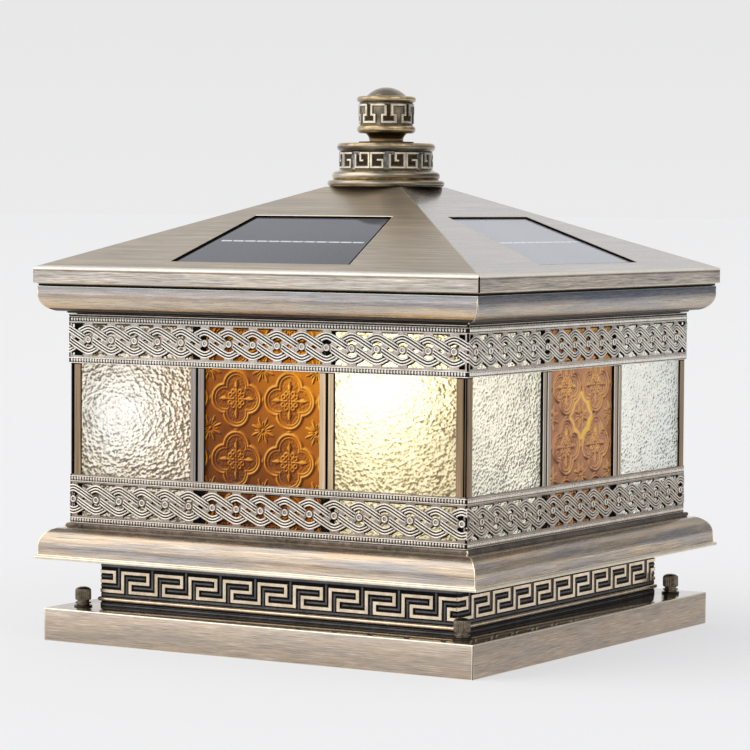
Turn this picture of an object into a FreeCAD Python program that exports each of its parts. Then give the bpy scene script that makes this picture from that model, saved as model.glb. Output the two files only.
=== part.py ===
import FreeCAD, Part
import math
import os

# Solar pillar light: square lantern with a hipped roof, one solar panel in each
# roof slope, clear and amber panes and a finial that screws down on a rod.
# Millimetres. Origin at the centre of the underside, +Z up, front towards -Y.

# ---------------------------------------------------------------- dimensions
# base tray
BASE_H = 150.0          # half side
BASE_Z = 20.0
BASE_T = 1.5
SCREW_P = 133.0         # thumb screw position from the axis, both ways
# mounting bracket
BRK_H = 143.0
BRK_IN = 92.0
BRK_T = 1.5
ANCHOR_P = 117.5        # anchor hole position
ANCHOR_R = 3.5
BOSS_R = 6.5
THREAD_R = 3.0          # M6 bore in the boss
# plinth
PLINTH_H = 123.3
PLINTH_Z = 50.0
FRET_GROUND = 123.9
FRET_TOP = 124.7
FRET_PITCH = 24.8
FRET_W = 2.2
FRET_X0 = -110.56       # left edge of one riser of the meander
FRET_LEVELS = (29.75, 35.6, 41.4)   # centre lines of the lower, middle and upper bars
# window frames and glass
FRAME_H = 137.0
FRAME_T = 3.0
FRAME_Z0, FRAME_Z1 = 71.4, 198.6
WIN_Z0, WIN_Z1 = 77.0, 193.0
MULL_C = 45.3           # mullion centre line
MULL_W = 8.6
POST_IN = 130.0         # inner edge of the corner post
GLASS_T = 3.0
# pierced bands
BAND_IN = 137.0
LOW_BAND_H, LOW_BAND_Z = 139.0, (71.4, 101.2)
UP_BAND_H, UP_BAND_Z = 139.6, (168.8, 198.6)
BAND_PITCH = 17.0
# roof
ROOF_H = 155.0
ROOF_Z0 = 215.4
EAVE_Z = 226.6
ROOF_TAN = 0.389
ROOF_TOP = 27.0
ROOF_T = 1.2
# finial and rod
ROD_R = 4.0
ROD_TOP = 322.0
KNOB_Z = 304.3
DRUM_TOP = 303.3

TH = math.atan(ROOF_TAN)
ROOF_Z1 = EAVE_Z + (ROOF_H - ROOF_TOP) * ROOF_TAN

V = FreeCAD.Vector
OUT = {}


# ------------------------------------------------------------------- helpers
def box(x0, x1, y0, y1, z0, z1):
    return Part.makeBox(x1 - x0, y1 - y0, z1 - z0, V(x0, y0, z0))


def cyl(x, y, z0, z1, r):
    return Part.makeCylinder(r, z1 - z0, V(x, y, z0))


def hexagon(x, y, z0, z1, r):
    pts = [V(x + r * math.cos(math.radians(60 * k)), y + r * math.sin(math.radians(60 * k)), z0) for k in range(7)]
    return Part.Face(Part.makePolygon(pts)).extrude(V(0, 0, z1 - z0))


def turned(shape, deg):
    s = shape.copy()
    s.rotate(V(0, 0, 0), V(0, 0, 1), deg)
    return s


def joined(shapes):
    s = shapes[0].fuse(shapes[1:]) if len(shapes) > 1 else shapes[0]
    return s.removeSplitter()


def polyhedron(faces):
    s = Part.Solid(Part.Shell([Part.Face(Part.makePolygon(f + [f[0]])) for f in faces]))
    if s.Volume < 0:
        s.reverse()
    return s


def frustum(h1, z1, h2, z2):
    a = [V(-h1, -h1, z1), V(h1, -h1, z1), V(h1, h1, z1), V(-h1, h1, z1)]
    b = [V(-h2, -h2, z2), V(h2, -h2, z2), V(h2, h2, z2), V(-h2, h2, z2)]
    faces = [a[::-1], b] + [[a[i], a[(i + 1) % 4], b[(i + 1) % 4], b[i]] for i in range(4)]
    return polyhedron(faces)


def outline(items, place):
    """Closed wire from (a, b) corners; ("arc", mid, end) bends through mid to end."""
    edges, at = [], items[0]
    for it in items[1:] + [items[0]]:
        if it[0] == "arc":
            edges.append(Part.Arc(place(*at), place(*it[1]), place(*it[2])).toShape())
            at = it[2]
        elif math.hypot(it[0] - at[0], it[1] - at[1]) > 1e-6:
            edges.append(Part.LineSegment(place(*at), place(*it)).toShape())
            at = it
    return Part.Wire(edges)


def wedge(z0, z1, reach=200.0):
    """The quarter of space in front of the axis, between the two mitre planes."""
    pts = [V(0, 0, z0), V(-reach, -reach, z0), V(reach, -reach, z0), V(0, 0, z0)]
    return Part.Face(Part.makePolygon(pts)).extrude(V(0, 0, z1 - z0))


def four(side):
    return [turned(side, 90 * k) for k in range(4)]


def square_ring(profile):
    """Moulding of the given section (half width, height) run round the square, mitred at its corners."""
    face = Part.Face(outline(profile, lambda h, z: V(-200, -h, z)))
    zs = [v.Point.z for v in face.Vertexes]
    side = face.extrude(V(400, 0, 0)).common(wedge(min(zs) - 5, max(zs) + 5))
    return joined(four(side))


def cap(r, z, top):
    """Arc from (r, z) up to the axis at the given height, round a centre on the axis."""
    h = top - z
    big = (r * r + h * h) / (2 * h)
    a = math.asin(r / big) / 2
    return ("arc", (big * math.sin(a), top - big + big * math.cos(a)), (0, top))


def lathe(profile, x=0.0, y=0.0):
    face = Part.Face(outline(profile, lambda r, z: V(x + r, y, z)))
    return face.revolve(V(x, y, 0), V(0, 0, 1), 360)


def on_slope(shape):
    """From the front slope's own frame (across, up the slope, outwards) to the light's frame."""
    s = shape.copy()
    s.rotate(V(0, 0, 0), V(1, 0, 0), math.degrees(TH))
    s.translate(V(0, -ROOF_H, EAVE_Z))
    return s


def slope_point(u, v, w):
    return V(u, -ROOF_H + v * math.cos(TH) - w * math.sin(TH), EAVE_Z + v * math.sin(TH) + w * math.cos(TH))


def lead(points, r, bend):
    """Round lead: straight runs joined by tangent arcs of the given radius."""
    pts = [V(*p) for p in points]
    edges, at = [], pts[0]
    for i in range(1, len(pts) - 1):
        a = (pts[i - 1] - pts[i]).normalize()
        b = (pts[i + 1] - pts[i]).normalize()
        half = a.getAngle(b) / 2
        t = bend / math.tan(half)
        p, q = pts[i] + a * t, pts[i] + b * t
        mid = (a + b).normalize()
        centre = pts[i] + mid * (bend / math.sin(half))
        m = centre - mid * bend
        edges.append(Part.LineSegment(at, p).toShape())
        edges.append(Part.Arc(p, m, q).toShape())
        at = q
    edges.append(Part.LineSegment(at, pts[-1]).toShape())
    path = Part.Wire(edges)
    d = (pts[1] - pts[0]).normalize()
    ring = Part.Wire([Part.Circle(pts[0], d, r).toShape()])
    s = path.makePipeShell([ring], True, True)
    if s.Volume < 0:
        s.reverse()
    return s


def strokes(path, w, y0, y1):
    """Ribbon of width w along a path of (x, z) points with square turns, from depth y0 to y1."""
    left, right = [], []
    n = len(path)
    for i, (x, z) in enumerate(path):
        dirs = []
        if i:
            dirs.append((x - path[i - 1][0], z - path[i - 1][1]))
        if i < n - 1:
            dirs.append((path[i + 1][0] - x, path[i + 1][1] - z))
        norm = [(-dz / math.hypot(dx, dz), dx / math.hypot(dx, dz)) for dx, dz in dirs]
        nx = sum(a for a, _ in norm)
        nz = sum(b for _, b in norm)
        if len(norm) == 1:
            nx, nz = norm[0]
        left.append((x + nx * w / 2, z + nz * w / 2))
        right.append((x - nx * w / 2, z - nz * w / 2))
    loop = left + right[::-1]
    pts = [V(x, y0, z) for x, z in loop + loop[:1]]
    return Part.Face(Part.makePolygon(pts)).extrude(V(0, y1 - y0, 0))


def keep(name, shape):
    OUT[name] = shape


CORNERS = (("fl", -1, -1), ("fr", 1, -1), ("br", 1, 1), ("bl", -1, 1))
SIDES = (("front", 0), ("right", 90), ("back", 180), ("left", 270))

# ---------------------------------------------------------- mounting bracket
bracket = box(-BRK_H, BRK_H, -BRK_H, BRK_H, 0, BRK_T).cut(box(-BRK_IN, BRK_IN, -BRK_IN, BRK_IN, -1, 5))
# rolled inner edge that stiffens the plate
bracket = bracket.fuse(
    box(-BRK_IN - 1.5, BRK_IN + 1.5, -BRK_IN - 1.5, BRK_IN + 1.5, 0, 6).cut(box(-BRK_IN, BRK_IN, -BRK_IN, BRK_IN, -1, 8))
)
for _, sx, sy in CORNERS:
    bracket = bracket.fuse(cyl(sx * SCREW_P, sy * SCREW_P, 0, BASE_Z - BASE_T, BOSS_R))
for _, sx, sy in CORNERS:
    bracket = bracket.cut(cyl(sx * SCREW_P, sy * SCREW_P, 3.0, 30, THREAD_R))
    bracket = bracket.cut(cyl(sx * ANCHOR_P, sy * ANCHOR_P, -1, 10, ANCHOR_R))
keep("mounting_bracket", bracket.removeSplitter())

# ----------------------------------------------------------------- base tray
tray = box(-BASE_H, BASE_H, -BASE_H, BASE_H, 0, BASE_Z)
inner = BASE_H - BASE_T
tray = tray.cut(box(-inner, inner, -inner, inner, -1, BASE_Z - BASE_T))
tray = tray.cut(box(-108, 108, -108, 108, 10, 30))
for _, sx, sy in CORNERS:
    tray = tray.cut(cyl(sx * SCREW_P, sy * SCREW_P, 10, 30, 3.4))
# open seam down each corner of the skirt
seam = box(-0.4, 0.4, -3.0, 3.0, -1, BASE_Z - BASE_T)
for k in range(4):
    s = seam.copy()
    s.rotate(V(0, 0, 0), V(0, 0, 1), -45)
    s.translate(V(BASE_H - 0.75, BASE_H - 0.75, 0))
    tray = tray.cut(turned(s, 90 * k))
keep("base_tray", tray)

# -------------------------------------------------------------- thumb screws
for name, sx, sy in CORNERS:
    x, y = sx * SCREW_P, sy * SCREW_P
    keep("thumb_washer_" + name, cyl(x, y, 20.0, 21.0, 5.6).cut(cyl(x, y, 19, 22, 3.3)))
    screw = lathe(
        [
            (0, 5.0), (2.95, 5.0), (2.95, 21.0), (4.0, 21.0), (4.0, 22.0), (4.85, 22.0), (4.85, 23.0),
            (3.7, 23.0), (3.7, 24.2), (4.7, 24.2), (4.9, 24.6), (4.9, 29.8),
            ("arc", (4.5, 31.0), (3.4, 31.7)), cap(3.4, 31.7, 32.3),
        ],
        x, y,
    )
    # knurling grooves round the head
    for k in range(16):
        a = math.radians(22.5 * k)
        screw = screw.cut(cyl(x + 5.15 * math.cos(a), y + 5.15 * math.sin(a), 24.0, 31.0, 0.55))
    keep("thumb_screw_" + name, screw)

# -------------------------------------------------------------------- plinth
keep(
    "plinth_box",
    square_ring(
        [
            (PLINTH_H, 20.0), (PLINTH_H, 50.0), (112, 50.0), (112, 48.8),
            (PLINTH_H - 1.2, 48.8), (PLINTH_H - 1.2, 21.2), (112, 21.2), (112, 20.0),
        ]
    ),
)

# sheet of the fret with the rod along its foot
fret = square_ring(
    [
        (PLINTH_H, 20.0), (124.3, 20.0), (124.3, 22.4), (FRET_GROUND, 22.4), (FRET_GROUND, 23.3),
        ("arc", (125.5, 24.65), (FRET_GROUND, 26.0)), (FRET_GROUND, 50.0), (PLINTH_H, 50.0),
    ]
)
lo, mid, hi = FRET_LEVELS
path = []
for k in range(-1, 11):
    x = FRET_X0 + FRET_PITCH * k + FRET_W / 2
    path += [(x, lo), (x, hi), (x + 18.7, hi), (x + 18.7, mid), (x + 5.5, mid), (x + 5.5, lo)]
key = strokes(path, FRET_W, -FRET_TOP, -(FRET_GROUND - 0.3))
key = key.common(wedge(20, 50))
fret = fret.fuse(four(key)).removeSplitter()
keep("plinth_fret", fret)

# ------------------------------------------------------------- lower cornice
keep(
    "lower_cornice",
    square_ring(
        [
            (112, 50.0), (154.8, 50.0), (154.8, 51.8), (152.9, 52.4), (152.9, 57.5),
            ("arc", (150.3, 64.8), (144.0, 68.5)), (140.6, 68.5), (140.6, 69.0),
            ("arc", (141.2, 70.2), (140.6, 71.4)), (130, 71.4), (130, 70.2), (139.4, 70.2),
            (139.4, 67.3), (143.6, 67.3), ("arc", (149.2, 64.1), (151.7, 57.5)), (151.7, 51.2), (112, 51.2),
        ]
    ),
)
keep("floor_pan", box(-138, 138, -138, 138, 69.0, 70.2))

# ----------------------------------------------------- window frames and glass
frame = box(-FRAME_H, FRAME_H, -FRAME_H, -FRAME_H + FRAME_T, FRAME_Z0, FRAME_Z1).common(wedge(60, 210))
inner_edge = MULL_C - MULL_W / 2
outer_edge = MULL_C + MULL_W / 2
for x0, x1 in ((-POST_IN, -outer_edge), (-inner_edge, inner_edge), (outer_edge, POST_IN)):
    frame = frame.cut(box(x0, x1, -145, -125, WIN_Z0, WIN_Z1))
for sx in (-1, 1):
    x = sx * MULL_C
    # rib behind the mullion, between two panes, and the slot down its face
    frame = frame.fuse(box(x - 0.6, x + 0.6, -134.2, -129.8, 73.0, 197.0))
    frame = frame.cut(box(x - 0.6, x + 0.6, -138, -136.0, FRAME_Z0 - 1, FRAME_Z1 + 1))
frame = frame.removeSplitter()
g0 = -FRAME_H + FRAME_T
panes = (("left", -130.8, -MULL_C - 0.9), ("amber", -MULL_C + 0.9, MULL_C - 0.9), ("right", MULL_C + 0.9, 130.8))
for side, deg in SIDES:
    keep("window_frame_" + side, turned(frame, deg))
    for label, x0, x1 in panes:
        keep("pane_%s_%s" % (side, label), turned(box(x0, x1, g0, g0 + GLASS_T, 71.9, 198.1), deg))

clips = []
for z in (92.0, 135.0, 178.0):
    g1 = g0 + GLASS_T
    for sx in (-1, 1):
        x = sx * MULL_C
        clip = box(x - 7, x + 7, g1, g1 + 2.2, z - 5, z + 5).cut(box(x - 0.6, x + 0.6, g1 - 1, g1 + 1.2, z - 9, z + 9))
        clips += four(clip)
    corner = box(119, 131, -131, -130, z - 5, z + 5).fuse(box(130, 131, -131, -119, z - 5, z + 5)).removeSplitter()
    clips += four(corner)
keep("glass_clips", Part.Compound(clips))


# -------------------------------------------------------------- pierced bands
def band(half, z0, z1, first):
    """Bent strip with beaded edges, pierced beside each eyelet, at each crossing and along its borders.
    first gives the first eyelet of the front and back, and that of the two sides."""
    mid_z = (z0 + z1) / 2
    ring = square_ring(
        [
            (BAND_IN, z0), (half - 0.5, z0), (half - 0.5, z0 + 1.4), ("arc", (half + 0.5, z0 + 3.0), (half - 0.5, z0 + 4.6)),
            (half - 0.5, z1 - 4.6), ("arc", (half + 0.5, z1 - 3.0), (half - 0.5, z1 - 1.4)), (half - 0.5, z1), (BAND_IN, z1),
        ]
    )
    for which in (0, 1):
        holes = []
        for k in range(-1, 17):
            xe = first[which] + k * BAND_PITCH
            xm = xe + BAND_PITCH / 2
            if abs(xm) < half - 6:
                d = [V(xm - 1.7, -150, mid_z), V(xm, -150, mid_z - 1.9), V(xm + 1.7, -150, mid_z), V(xm, -150, mid_z + 1.9)]
                holes.append(Part.Face(Part.makePolygon(d + d[:1])).extrude(V(0, 20, 0)))
                for s in (-1, 1):
                    t = [
                        V(xm - 4.6, -150, mid_z + s * 9.4), V(xm + 4.6, -150, mid_z + s * 9.4), V(xm, -150, mid_z + s * 6.4),
                    ]
                    holes.append(Part.Face(Part.makePolygon(t + t[:1])).extrude(V(0, 20, 0)))
            if abs(xe) < half - 5:
                for s in (-1, 1):
                    t = [
                        V(xe - 3.2, -150, mid_z + s * 3.2), V(xe + 3.2, -150, mid_z + s * 3.2), V(xe, -150, mid_z + s * 4.9),
                    ]
                    holes.append(Part.Face(Part.makePolygon(t + t[:1])).extrude(V(0, 20, 0)))
        cutter = Part.Compound(holes)
        for k in (which, which + 2):
            ring = ring.cut(turned(cutter, 90 * k))
    return ring


keep("lower_band", band(LOW_BAND_H, *LOW_BAND_Z, (-136.3, -121.5)))
keep("upper_band", band(UP_BAND_H, *UP_BAND_Z, (-124.8, -130.9)))

# ------------------------------------------------------------- upper cornice
keep(
    "upper_cornice",
    square_ring(
        [
            (130, 198.6), (140.0, 198.6), ("arc", (140.6, 199.4), (140.0, 200.2)), (145.0, 200.2),
            ("arc", (150.7, 203.7), (153.0, 212.0)), (153.0, ROOF_Z0), (146, ROOF_Z0), (146, ROOF_Z0 - 1.2),
            (151.8, ROOF_Z0 - 1.2), (151.8, 212.0), ("arc", (149.8, 204.7), (145.0, 201.4)), (138.8, 201.4),
            (138.8, 199.8), (130, 199.8),
        ]
    ),
)

# ------------------------------------------------- ceiling plate and the lamp
PLATE_Z = 201.0
plate = box(-138, 138, -138, 138, 199.8, PLATE_Z)
plate = plate.cut(cyl(0, 0, 190, 210, ROD_R + 0.2)).cut(cyl(-14, -14, 190, 210, 3.0))
keep("ceiling_plate", plate)

sink = cyl(0, 0, 190, 193, 36).fuse(cyl(0, 0, 190, 199.8, 12))
for k in range(12):
    fin = box(11, 35.5, -0.75, 0.75, 192, 199.8)
    sink = sink.fuse(turned(fin, 30 * k))
sink = sink.cut(cyl(0, 0, 180, 210, 9.5)).cut(cyl(-14, -14, 180, 210, 2.7))
keep("led_heat_sink", sink.removeSplitter())
keep("led_board", cyl(0, 0, 188.4, 190, 33))
chips = [turned(box(22.4, 25.6, -1.6, 1.6, 187.6, 188.4), 30 * k) for k in range(12)]
keep("led_chips", Part.Compound(chips))
keep(
    "led_diffuser",
    lathe(
        [
            (37.0, 197.8), (37.0, 152.0), ("arc", (33.2, 142.8), (24.0, 139.0)), (0, 139.0), (0, 137.0), (24.0, 137.0),
            ("arc", (34.6, 141.4), (39.0, 152.0)), (39.0, 197.8), (43.0, 197.8), (43.0, 199.8), (37.0, 199.8),
        ]
    ),
)

# ------------------------------------------------------------------- battery
holder = box(-45, 45, 20.4, 65.6, PLATE_Z, 226.0)
holder = holder.cut(box(-33.2, 33.2, 22, 64, PLATE_Z + 1.6, 230))
holder = holder.cut(box(-43.4, 43.4, 22, 64, 221.4, 230))
holder = holder.cut(box(-43.4, 60, 21.2, 64.8, 222.4, 224.8)).cut(box(43, 60, 20, 66, 222.4, 230))
keep("battery_holder", holder.removeSplitter())
cells = []
for y in (32.6, 53.4):
    c = Part.makeCylinder(9.1, 66.0, V(-33.0, y, PLATE_Z + 1.9 + 9.1), V(1, 0, 0))
    cells.append(c)
keep("battery_cells", Part.Compound(cells))
lid = box(-43.2, 45.0, 21.4, 64.6, 222.5, 224.6)
lid = lid.fuse(box(33, 36, 33, 53, 224.0, 226.2))
keep("battery_lid", lid.removeSplitter())

# ---------------------------------------------------------------- controller
board = box(-72, -20, -74, -26, 205.0, 206.6)
for x in (-68, -24):
    for y in (-70, -30):
        board = board.fuse(cyl(x, y, PLATE_Z, 205.5, 2.5))
for x0, x1, y0, y1, h in ((-66, -56, -64, -54, 8.0), (-52, -42, -40, -32, 2.0), (-34, -26, -66, -58, 6.0), (-64, -60, -46, -38, 2.0)):
    board = board.fuse(box(x0, x1, y0, y1, 206.0, 206.6 + h))
keep("controller_board", board.removeSplitter())
SW = (-44.0, -52.0)
housing = box(SW[0] - 6, SW[0] + 6, SW[1] - 6, SW[1] + 6, 206.6, 215.0).cut(cyl(SW[0], SW[1], 209.0, 220, 4.05))
keep("switch_housing", housing)
keep("power_button", cyl(SW[0], SW[1], 212.0, 219.5, 4.0))

# ------------------------------------------------------------ tie rod and nuts
keep("tie_rod", cyl(0, 0, 194.6, ROD_TOP, ROD_R))
nuts = []
for z0, z1 in ((195.0, 199.8), (PLATE_Z, PLATE_Z + 5.0)):
    nuts.append(hexagon(0, 0, z0, z1, 7.5).cut(cyl(0, 0, z0 - 1, z1 + 1, ROD_R)))
keep("rod_nuts", Part.Compound(nuts))

# ----------------------------------------------------------------- connector
CX, CY = 17.0, -17.0
socket = box(CX - 7, CX + 7, CY - 4.5, CY + 4.5, PLATE_Z, 222.0)
plug = box(CX - 7, CX + 7, CY - 4.5, CY + 4.5, 222.0, 232.0)
plug = plug.fuse(box(CX - 2.5, CX + 2.5, CY - 2.5, CY + 2.5, 231.0, ROOF_Z1 - ROOF_T))
for dx in (-3.5, 3.5):
    socket = socket.cut(cyl(CX + dx, CY, 212.0, 223, 1.1))
    plug = plug.fuse(cyl(CX + dx, CY, 214.0, 223.0, 1.0))
keep("connector_socket", socket)
keep("connector_plug", plug.removeSplitter())

# ---------------------------------------------------------------------- roof
shell = frustum(ROOF_H, EAVE_Z, ROOF_TOP, ROOF_Z1)
shell = shell.fuse(box(-ROOF_H, ROOF_H, -ROOF_H, ROOF_H, 217.6, EAVE_Z))
shell = shell.fuse(frustum(152.8, ROOF_Z0, ROOF_H, 217.6))
ri = ROOF_H - ROOF_T
drop = ROOF_T / math.cos(TH)
zi = EAVE_Z + (ROOF_H - ri) * ROOF_TAN - drop
top_in = ROOF_Z1 - ROOF_T
hi_in = ROOF_H - (top_in + drop - EAVE_Z) / ROOF_TAN
hollow = frustum(ri, zi, hi_in, top_in).fuse(box(-ri, ri, -ri, ri, ROOF_Z0 + 2.4, zi))
hollow = hollow.fuse(frustum(152.8 - 1.2, ROOF_Z0 + 1.2, ri, ROOF_Z0 + 2.4)).fuse(box(-147, 147, -147, 147, ROOF_Z0 - 1, 218))
shell = shell.cut(hollow)
# window of one slope: 125 wide at its foot, 97 at its head, 75 up the slope
WV0, WV1, WU0, WU1 = 13.5, 88.5, 62.5, 48.5
win = Part.Face(
    Part.makePolygon([V(-WU0, WV0, -4), V(WU0, WV0, -4), V(WU1, WV1, -4), V(-WU1, WV1, -4), V(-WU0, WV0, -4)])
).extrude(V(0, 0, 8))
win = on_slope(win)
shell = shell.cut(win)
for k in (1, 2, 3):
    shell = shell.cut(turned(win, 90 * k))
shell = shell.cut(cyl(0, 0, 260, 290, ROD_R + 0.6))
# open seam down each corner of the fascia
seam = box(-0.45, 0.45, -3.0, 3.0, 214, EAVE_Z - 1.5)
for k in range(4):
    s = seam.copy()
    s.rotate(V(0, 0, 0), V(0, 0, 1), -45)
    s.translate(V(ROOF_H - 0.6, ROOF_H - 0.6, 0))
    shell = shell.cut(turned(s, 90 * k))
keep("roof_shell", shell.removeSplitter())


def pane_half(v):
    return WU0 - (v - WV0) * (WU0 - WU1) / (WV1 - WV0) + 4.07


pv0, pv1 = WV0 - 4.0, WV1 + 4.0
pw = -ROOF_T - 3.0
panel = Part.Face(
    Part.makePolygon(
        [
            V(-pane_half(pv0), pv0, pw), V(pane_half(pv0), pv0, pw), V(pane_half(pv1), pv1, pw),
            V(-pane_half(pv1), pv1, pw), V(-pane_half(pv0), pv0, pw),
        ]
    )
).extrude(V(0, 0, 3.0))
panel = on_slope(panel)
for side, deg in SIDES:
    keep("solar_panel_" + side, turned(panel, deg))
pclips = []
for v in (26.0, 76.0):
    h = pane_half(v)
    for s in (-1, 1):
        a, b = sorted((s * (h - 6), s * (h + 9)))
        c, d = sorted((s * (h + 1.3), s * (h + 9)))
        clip = box(a, b, v - 5, v + 5, pw - 1.2, pw).fuse(box(c, d, v - 5, v + 5, pw - 0.5, -ROOF_T)).removeSplitter()
        pclips += four(on_slope(clip))
keep("panel_clips", Part.Compound(pclips))

# --------------------------------------------------------------------- leads
runs = []
b0 = slope_point(0, 84.0, pw)
zb = b0.z - 0.36
# each lead leaves the underside of its panel and ends at one side of the plug
runs.append(lead([(CX - 4, b0.y, zb), (CX - 4, b0.y, 238), (CX - 4, -34, 227), (CX - 4, CY - 4.5, 227)], 0.9, 4.0))
runs.append(lead([(-b0.y, CY + 2, zb), (-b0.y, CY + 2, 238), (36, CY + 2, 227), (CX + 7, CY + 2, 227)], 0.9, 4.0))
runs.append(lead([(CX + 4, -b0.y, zb), (CX + 4, -b0.y, 240), (CX + 4, 0, 229), (CX + 4, CY + 4.5, 229)], 0.9, 4.0))
runs.append(lead([(b0.y, CY, zb), (b0.y, CY, 238), (-6, CY, 229), (CX - 7, CY, 229)], 0.9, 4.0))
keep("panel_leads", Part.Compound(runs))

inner_runs = []
# lamp leads: from the controller down through the plate to the lamp's board
for d in (-1.2, 1.2):
    x, y = -14 + d * 0.70711, -14 - d * 0.70711
    inner_runs.append(lead([(x, y, 190.0), (x, y, 212.0), (-24 + 2 * d, -34, 212.0), (-24 + 2 * d, -34, 206.6)], 0.8, 2.6))
# battery leads
for d in (-2.0, 2.0):
    inner_runs.append(
        lead([(-45.0, 42 + 2 * d, 212), (-56 - d, 42 + 2 * d, 212), (-56 - d, -32, 212), (-56 - d, -32, 206.6)], 0.8, 2.6)
    )
# connector leads
for d in (-2.0, 2.0):
    inner_runs.append(
        lead([(CX - 7, CY + d, 209.5), (CX - 30, CY + d, 209.5 ), (-31.0 + d, -29.5, 209.5), (-31.0 + d, -29.5, 206.6)], 0.8, 1.4)
    )
keep("internal_leads", Part.Compound(inner_runs))

# -------------------------------------------------------------------- finial
keep(
    "finial_drum",
    lathe(
        [
            (4.6, ROOF_Z1), (8.0, ROOF_Z1), (8.0, 300.3), (25.8, 300.3), (25.8, 287.0), (29.6, 282.2), (30.8, ROOF_Z1),
            (34.6, ROOF_Z1), ("arc", (36.3, 278.4), (34.2, 280.6)), (32.4, 281.0), ("arc", (33.4, 283.4), (31.6, 285.8)),
            (28.8, 286.7), (28.8, 298.2), (29.4, 298.8), ("arc", (30.4, 301.0), (29.2, DRUM_TOP)), (4.6, DRUM_TOP),
        ]
    ),
)
keep("finial_washer", cyl(0, 0, DRUM_TOP, KNOB_Z, 17.0).cut(cyl(0, 0, 300, 310, 4.6)))
keep(
    "finial_knob",
    lathe(
        [
            (ROD_R + 0.05, KNOB_Z), (10.6, KNOB_Z), (10.6, 305.6), ("arc", (11.4, 307.9), (13.2, 309.4)), (16.4, 309.5),
            ("arc", (18.1, 311.8), (16.9, 314.2)), (16.9, 328.4), ("arc", (18.3, 330.2), (17.0, 332.2)), (12.2, 332.6),
            cap(12.2, 332.6, 337.9), (0, 324.0), (ROD_R + 0.05, 324.0),
        ]
    ),
)

# -------------------------------------------------------------------- export
os.makedirs("parts", exist_ok=True)
for name, shape in OUT.items():
    shape.exportStep("parts/%s.step" % name)
print(len(OUT), "nodes")
for name, shape in sorted(OUT.items()):
    bb = shape.BoundBox
    print(
        "%-22s solids %2d valid %s vol %10.1f  x %7.1f %7.1f  y %7.1f %7.1f  z %6.1f %6.1f faces %d"
        % (name, len(shape.Solids), shape.isValid(), shape.Volume, bb.XMin, bb.XMax, bb.YMin, bb.YMax, bb.ZMin, bb.ZMax, len(shape.Faces))
    )
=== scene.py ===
import math
import bmesh
import bpy
import numpy as np
from mathutils import Matrix, Vector
from mathutils.geometry import tessellate_polygon


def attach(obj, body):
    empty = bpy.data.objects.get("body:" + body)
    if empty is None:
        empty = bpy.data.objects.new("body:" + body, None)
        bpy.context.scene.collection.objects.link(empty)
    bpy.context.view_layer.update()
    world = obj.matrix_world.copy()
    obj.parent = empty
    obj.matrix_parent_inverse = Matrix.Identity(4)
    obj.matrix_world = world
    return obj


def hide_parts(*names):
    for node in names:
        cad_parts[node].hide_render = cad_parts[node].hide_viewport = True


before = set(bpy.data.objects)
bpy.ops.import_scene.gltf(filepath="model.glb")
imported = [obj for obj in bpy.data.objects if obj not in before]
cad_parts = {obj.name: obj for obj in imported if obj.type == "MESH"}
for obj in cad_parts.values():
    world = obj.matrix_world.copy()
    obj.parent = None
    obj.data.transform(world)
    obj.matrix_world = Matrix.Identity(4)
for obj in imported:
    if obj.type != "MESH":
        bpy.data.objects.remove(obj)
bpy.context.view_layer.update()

MM = 0.001
RNG = np.random.default_rng(7)
SCENE = bpy.context.scene


# ============================================================ camera
def look_camera():
    yaw, pitch, roll = math.radians(31.4096), math.radians(3.0494), math.radians(0.3678)
    f = Vector((-math.sin(yaw) * math.cos(pitch), math.cos(yaw) * math.cos(pitch), -math.sin(pitch)))
    r0 = Vector((math.cos(yaw), math.sin(yaw), 0))
    u0 = r0.cross(f)
    c, s = math.cos(roll), math.sin(roll)
    r = c * r0 + s * u0
    u = -s * r0 + c * u0
    cam = bpy.data.cameras.new("camera")
    cam.lens = 156.14
    cam.sensor_width = 36.0
    cam.clip_start, cam.clip_end = 0.05, 200.0
    ob = bpy.data.objects.new("camera", cam)
    ob.matrix_world = Matrix(((r.x, u.x, -f.x, 1.04522), (r.y, u.y, -f.y, -1.72325), (r.z, u.z, -f.z, 0.26731), (0, 0, 0, 1)))
    SCENE.collection.objects.link(ob)
    SCENE.camera = ob


look_camera()


# ============================================================ materials
def lin(r, g, b):
    out = []
    for c in (r, g, b):
        c /= 255.0
        out.append(c / 12.92 if c <= 0.04045 else ((c + 0.055) / 1.055) ** 2.4)
    return (*out, 1.0)


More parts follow.
